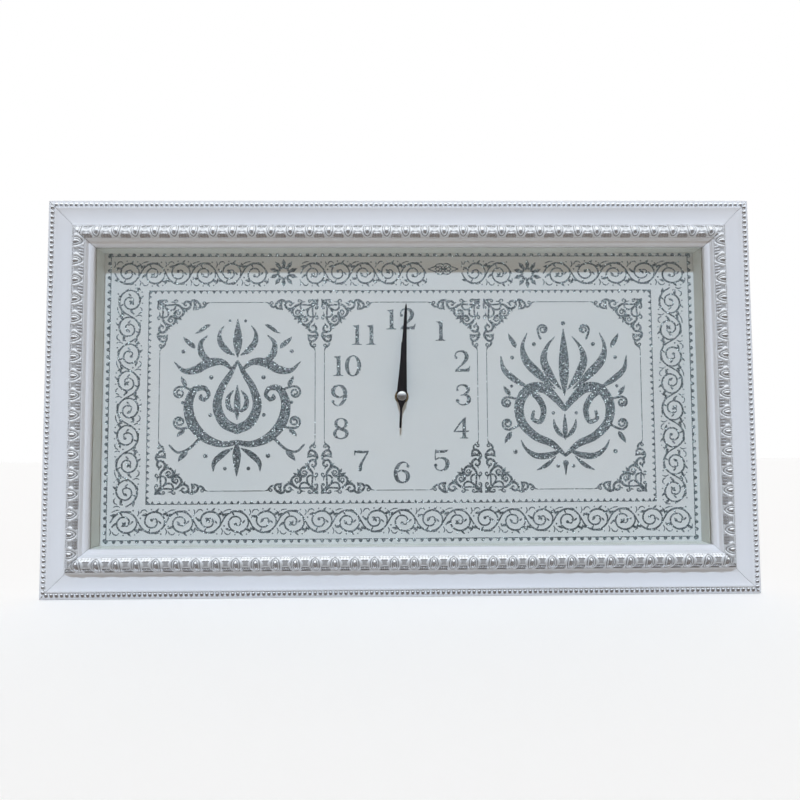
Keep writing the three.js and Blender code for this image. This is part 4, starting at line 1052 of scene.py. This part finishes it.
def artwork():
    lines = Sheet()
    lines.add(union(border(302.3, 146.75, 0.3, 0.95, 77, 39, True, 4.0, 3.4, 0.85)))
    lines.piece("dial_border_outer")
    lines = Sheet()
    lines.add(union(border(262.55, 110.4, 0.3, 0.95, 78, 34, False, 4.3, 3.1, 0.75)))
    lines.piece("dial_border_inner")

    numbers = Sheet()
    for n, (x, y) in NUMERALS.items():
        numbers.add(union(moved(numeral(n), x, y)))
    numbers.piece("dial_numerals")

    top, low = 99.0, -96.4
    panels = ((-250.3, -89.65), (-80.1, 79.3), (88.9, 250.2))
    motif = union(corner_scroll())
    thin = Sheet()
    for place, (x0, x1) in zip(("left", "centre", "right"), panels):
        corners = Sheet()
        for sx, x in ((1, x0), (-1, x1)):
            for sy, y in ((1, top), (-1, low)):
                corners.add(motif, lambda a, b: (x + sx * a, y + sy * b))
        corners.piece("dial_corner_scrolls_" + place)
        for y in (top, low):
            thin.add(union(box2(x0 + 52.6, y - 0.35, x1 - 52.6, y + 0.35)))
        for x in (x0, x1):
            thin.add(union(box2(x - 0.35, low + 52.6, x + 0.35, top - 52.6)))
    thin.piece("dial_panel_lines")

    left, right = Sheet(), Sheet()
    left.add(union(bold_left()), lambda x, y: (x - 170.0, y + 0.6))
    left.piece("dial_panel_left")
    right.add(union(bold_right()), lambda x, y: (x + 169.6, y + 0.2))
    right.piece("dial_panel_right")

    stars = Sheet()
    star, knot = union(rosette()), union(medallion())
    stars.add(star, lambda x, y: (x - 122.7, y + 130.0))
    stars.add(star, lambda x, y: (x + 133.0, y + 128.8))
    stars.add(knot, lambda x, y: (x + 44.3, y + 134.0))
    stars.piece("dial_rosettes")

    units = [union(vine_unit(k)) for k in range(6)]
    high, deep = 0.95 + (146.75 + 110.4) / 2, 0.95 - (146.75 + 110.4) / 2

    def run(scroll, x0, x1, first, f):
        n = max(1, int(round((x1 - x0) / 28.0)))
        s = (x1 - x0) / (30.0 * n)
        for i in range(n):
            mid = x0 + (x1 - x0) * (i + 0.5) / n
            scroll.add(units[(i + first) % 6], lambda x, y: f(mid + x * s, y))

    above, below, sides = Sheet(), Sheet(), Sheet()
    run(above, -298, -139.5, 0, lambda x, y: (x, high + y))
    run(above, -105, 26, 1, lambda x, y: (x, high + y))
    run(above, 64, 116, 0, lambda x, y: (x, high + y))
    run(above, 150, 298.6, 1, lambda x, y: (x, high + y))
    run(below, -298, 298.6, 1, lambda x, y: (x, deep + y))
    side = (302.3 + 262.55) / 2
    run(sides, -112.5, 112.5, 0, lambda x, y: (0.3 - side - y, 0.95 + x))
    run(sides, -112.5, 112.5, 0, lambda x, y: (0.3 + side + y, 0.95 - x))
    above.piece("dial_band_scroll_top")
    below.piece("dial_band_scroll_bottom")
    sides.piece("dial_band_scroll_sides")


artwork()

# ------------------------------------------------------------------ hands


def plate(name, outline, hole, line, heights, bottom, lean, body, node):
    """A thin creased plate: outline and hole in mm, a centre line, and its height rule."""
    verts, edges = [], []

    def ring(points, closed=True):
        start = len(verts)
        verts.extend(Vector(p) for p in points)
        n = len(points)
        edges.extend((start + i, start + (i + 1) % n) for i in range(n if closed else n - 1))
        return list(range(start, start + n))

    outer = ring(outline)
    inner = ring(hole)
    for part in line:
        ring(part, False)
    points, _, tris, originals, _, owners = delaunay_2d_cdt(verts, edges, [outer], 0, 1e-5)
    tris = [t for t, o in zip(tris, owners) if o]
    ins = []
    for t in tris:
        x = sum(points[i].x for i in t) / 3
        y = sum(points[i].y for i in t) / 3
        if math.hypot(x, y) > math.hypot(*hole[0]) * 0.995:
            ins.append(t)
    tris = ins
    c, s = math.cos(math.radians(lean)), math.sin(math.radians(lean))
    n = len(points)
    high = [bottom + heights(p.x, p.y) for p in points]
    place = lambda p, d: ((p.x * c + p.y * s) * MM, -d * MM, (DIAL_Z - p.x * s + p.y * c) * MM)
    out = [place(p, d) for p, d in zip(points, high)] + [place(p, bottom) for p in points]
    faces, seen = [], {}
    for t in tris:
        a, b, cc = t
        area = (points[b].x - points[a].x) * (points[cc].y - points[a].y) - (points[b].y - points[a].y) * (points[cc].x - points[a].x)
        if area < 0:
            b, cc = cc, b
        faces += [(a, b, cc), (n + a, n + cc, n + b)]
        for e in ((a, b), (b, cc), (cc, a)):
            seen[e] = True
    faces += [(b, a, n + a, n + b) for a, b in seen if (b, a) not in seen]
    used = sorted({i for f in faces for i in f})
    where = {i: k for k, i in enumerate(used)}
    obj = mesh_object(name, [out[i] for i in used], [tuple(where[i] for i in f) for f in faces], PAINT, body, 20)
    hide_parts(node)
    return obj


def hand_outline(length, tail):
    """Outline of a lance-shaped hand, counter-clockwise from its tip."""
    right = smooth_line([(0.35, length - 0.3), (0.95, length - 3.0), (2.1, length * 0.66), (3.6, length * 0.33), (4.75, length * 0.12), (5.25, 3.2)], 2.0)
    if not tail:
        right = smooth_line([(0.35, length - 0.3), (0.55, length - 3.0), (1.3, length * 0.72), (2.7, length * 0.40), (4.3, length * 0.16), (5.25, 3.2)], 2.0)
    if tail:
        right += smooth_line([(5.25, 3.2), (5.2, 1.0), (4.85, -1.8), (4.1, -4.8), (3.0, -7.8), (1.9, -10.6), (1.25, -12.8), (1.15, -14.4)], 0.7)[1:]
        right += [(1.15, -tail * 0.55), (1.15, -tail + 1.4), (0.95, -tail + 0.5), (0.45, -tail)]
    else:
        right += [(5.25 * math.cos(math.radians(a)), 5.25 * math.sin(math.radians(a))) for a in range(24, -91, -10)]
    left = [(-x, y) for x, y in right if x > 0.01]
    return [(0.0, length)] + left + right[::-1]


def circle_points(r, n=40):
    return [(r * math.cos(2 * math.pi * i / n), r * math.sin(2 * math.pi * i / n)) for i in range(n)]


def hand(name, length, tail, hole, bottom, lean, body):
    outline = hand_outline(length, tail)
    up = [(0.0, y) for y in np.linspace(6.4, length - 1.0, 24)]
    lines = [up]
    if tail:
        lines.append([(0.0, y) for y in np.linspace(-8.0, -tail + 0.6, 12)])

    def heights(x, y):
        r = math.hypot(x, y)
        if r < 5.0:
            return 0.46
        return 0.5 if abs(x) < 0.02 else 0.2

    return plate(name, outline, circle_points(hole), lines, heights, bottom, lean, body, name.replace("_blade", ""))


hand("hour_hand_blade", 56.0, 0.0, 2.8, 27.6, 0.25, "hour_hand_body")
hand("minute_hand_blade", 96.0, 33.0, 1.8, 31.0, 3.0, "minute_hand_body")


def lathe(name, profile, centre, material, body, node, segments=96, smooth=35):
    """A turned piece about the dial's axis: profile of (radius, depth from the wall)."""
    cx, cz = centre
    verts, faces, rows = [], [], []
    for r, d in profile:
        if r < 1e-6:
            rows.append([len(verts)])
            verts.append((cx * MM, -d * MM, cz * MM))
            continue
        rows.append(list(range(len(verts), len(verts) + segments)))
        for i in range(segments):
            a = 2 * math.pi * i / segments
            verts.append(((cx + r * math.cos(a)) * MM, -d * MM, (cz + r * math.sin(a)) * MM))
    closed = profile[0][0] > 1e-6 and profile[-1][0] > 1e-6
    pairs = list(zip(rows, rows[1:])) + ([(rows[-1], rows[0])] if closed else [])
    for a, b in pairs:
        for i in range(segments):
            j = (i + 1) % segments
            if len(a) == 1 and len(b) > 1:
                faces.append((a[0], b[i], b[j]))
            elif len(b) == 1 and len(a) > 1:
                faces.append((a[i], a[j], b[0]))
            elif len(a) > 1:
                faces.append((a[i], a[j], b[j], b[i]))
    obj = mesh_object(name, verts, faces, material, body, smooth)
    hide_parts(node)
    return obj


def cap_profile():
    base = 31.8
    out = [(0.0, base + 3.4), (1.8, base + 3.1), (1.8, base), (4.5, base), (4.75, base + 0.25), (4.75, base + 3.4)]
    size, edge = 10.6, math.radians(26)
    for i in range(1, 15):
        a = edge * (1 - i / 14)
        out.append((size * math.sin(a) * 0.985, base + 4.8 - size * (1 - math.cos(a))))
    return out


lathe("cap_nut_dome", cap_profile(), (0.0, DIAL_Z), CHROME, "minute_hand_body", "cap_nut")

# ------------------------------------------------------------------ finishes of the CAD nodes

FINISH = {
    GLASS: ["glass_pane"],
    CANVAS: ["canvas_print"],
    SPACER: ["spacer_top", "spacer_bottom", "spacer_left", "spacer_right"],
    BOARD: ["dial_board"],
    STAMPED: ["corner_wedge_tl", "corner_wedge_tr", "corner_wedge_bl", "corner_wedge_br"] + [f"retaining_tab_{i}" for i in range(1, 9)] + ["stator"],
    STEEL: ["hanger_strap_left", "hanger_strap_right", "hanger_ring_left", "hanger_ring_right", "hanger_screw_left", "hanger_screw_right", "contact_positive", "contact_negative", "clutch_spring", "crystal"],
    BLACK_PLASTIC: ["movement_front_case", "movement_rear_cover"],
    WHEEL: ["set_knob", "hour_wheel", "minute_shaft", "minute_wheel", "centre_wheel", "third_wheel", "second_wheel", "fifth_wheel", "rotor"],
    BRASS: ["threaded_bush", "brass_washer", "hex_nut"],
    RUBBER: ["rubber_washer"],
    COPPER: ["coil"],
    GREEN: ["circuit_board"],
    SLEEVE: ["battery"],
    PAINT: ["hour_hand", "minute_hand"],
    CHROME: ["cap_nut"],
    WHITE: ["frame_rail_top", "frame_rail_bottom", "frame_rail_left", "frame_rail_right"],
}
for material, names in FINISH.items():
    for name in names:
        node = frame["nodes"][name]
        if len(node.material_slots):
            for place in node.material_slots:
                place.material = material
        else:
            node.data.materials.append(material)
missing = sorted(set(frame["nodes"]) - {n for names in FINISH.values() for n in names})
if missing:
    print("no finish:", missing)

# ------------------------------------------------------------------ floor, sky and light


def floor():
    mesh = bpy.data.meshes.new("floor")
    bm = bmesh.new()
    bmesh.ops.create_grid(bm, x_segments=24, y_segments=24, size=4.0)
    bm.to_mesh(mesh)
    bm.free()
    obj = bpy.data.objects.new("floor", mesh)
    obj.location = (0, 0.6, -0.3943)
    bpy.context.scene.collection.objects.link(obj)
    m = Nodes("floor_white")
    tone = m.noise(m.coords(), 3, 4).outputs["Fac"]
    fine = m.noise(m.coords(), 90, 4).outputs["Fac"]
    color = m.mix(tone, (0.795, 0.780, 0.755), (0.815, 0.800, 0.775))
    surface = m.principled(color, 0.7, 0.0, m.bump(fine, 0.0004, 0.1), Specular_IOR_Level=0.2)
    # a lit white table to the eye, which throws no more light on the clock than paper would
    glow = m.add("Emission")
    glow.inputs["Color"].default_value = (0.955, 0.975, 1.0, 1)
    eye = m.add("LightPath").outputs["Is Camera Ray"]
    m.link(m.math("MULTIPLY", eye, 0.40), glow.inputs["Strength"])
    both = m.add("AddShader")
    m.link(surface.outputs[0], both.inputs[0])
    m.link(glow.outputs[0], both.inputs[1])
    m.link(both.outputs[0], m.out.inputs["Surface"])
    mesh.materials.append(m.mat)
    obj.visible_glossy = False


floor()


def sky():
    """White behind the clock, a soft room around it, and a room seen in gloss."""
    world = bpy.data.worlds.new("studio")
    bpy.context.scene.world = world
    world.use_nodes = True
    tree = world.node_tree
    tree.nodes.clear()
    out = tree.nodes.new("ShaderNodeOutputWorld")
    tex = tree.nodes.new("ShaderNodeTexCoord")
    split = tree.nodes.new("ShaderNodeSeparateXYZ")
    tree.links.new(tex.outputs["Generated"], split.inputs[0])
    lift = tree.nodes.new("ShaderNodeMapRange")
    lift.inputs["From Min"].default_value = -1
    lift.inputs["From Max"].default_value = 1
    tree.links.new(split.outputs["Z"], lift.inputs["Value"])

    def room(stops, strength):
        ramp = tree.nodes.new("ShaderNodeValToRGB")
        while len(ramp.color_ramp.elements) < len(stops):
            ramp.color_ramp.elements.new(0.5)
        for element, (at, value) in zip(ramp.color_ramp.elements, stops):
            element.position = at
            element.color = (*value, 1)
        tree.links.new(lift.outputs[0], ramp.inputs["Fac"])
        ground = tree.nodes.new("ShaderNodeBackground")
        ground.inputs["Strength"].default_value = strength
        tree.links.new(ramp.outputs["Color"], ground.inputs["Color"])
        return ground.outputs[0]

    around = room([(0.0, (0.235, 0.157, 0.090)), (0.46, (0.46, 0.320, 0.190)), (0.56, (0.56, 0.400, 0.240)), (0.68, (0.60, 0.430, 0.255)), (0.84, (0.68, 0.485, 0.285)), (1.0, (0.66, 0.470, 0.275))], 0.41)
    gloss = room([(0.0, (0.09, 0.07, 0.06)), (0.50, (0.085, 0.078, 0.075)), (0.60, (0.180, 0.185, 0.205)), (0.70, (0.43, 0.45, 0.50)), (0.80, (0.93, 0.965, 1.0)), (1.0, (0.86, 0.88, 0.90))], 1.40)
    # a lighter room behind the clock, which lights its back
    behind = tree.nodes.new("ShaderNodeBackground")
    behind.inputs["Color"].default_value = (0.84, 0.76, 0.66, 1)
    behind.inputs["Strength"].default_value = 0.80
    turn = tree.nodes.new("ShaderNodeMapRange")
    turn.inputs["From Min"].default_value = 0.10
    turn.inputs["From Max"].default_value = 0.60
    tree.links.new(split.outputs["Y"], turn.inputs["Value"])
    whole = tree.nodes.new("ShaderNodeMixShader")
    tree.links.new(turn.outputs[0], whole.inputs[0])
    tree.links.new(around, whole.inputs[1])
    tree.links.new(behind.outputs[0], whole.inputs[2])
    seen = tree.nodes.new("ShaderNodeBackground")
    seen.inputs["Color"].default_value = (1, 1, 1, 1)
    seen.inputs["Strength"].default_value = 1.0
    path = tree.nodes.new("ShaderNodeLightPath")
    shiny = tree.nodes.new("ShaderNodeMixShader")
    tree.links.new(path.outputs["Is Glossy Ray"], shiny.inputs[0])
    tree.links.new(whole.outputs[0], shiny.inputs[1])
    tree.links.new(gloss, shiny.inputs[2])
    mix = tree.nodes.new("ShaderNodeMixShader")
    tree.links.new(path.outputs["Is Camera Ray"], mix.inputs[0])
    tree.links.new(shiny.outputs[0], mix.inputs[1])
    tree.links.new(seen.outputs[0], mix.inputs[2])
    tree.links.new(mix.outputs[0], out.inputs["Surface"])


sky()


def sun(name, direction, strength, angle, color):
    data = bpy.data.lights.new(name, "SUN")
    data.energy = strength
    data.angle = math.radians(angle)
    data.color = color
    lamp = bpy.data.objects.new(name, data)
    lamp.rotation_euler = Vector(direction).to_track_quat("-Z", "Y").to_euler()
    lamp.visible_glossy = False   # its gleam comes from the room seen in gloss
    bpy.context.scene.collection.objects.link(lamp)


sun("key", (0.03, 1.0, -0.79), 2.20, 3.0, (0.675, 0.820, 1.0))
bpy.context.scene.view_settings.view_transform = "Standard"
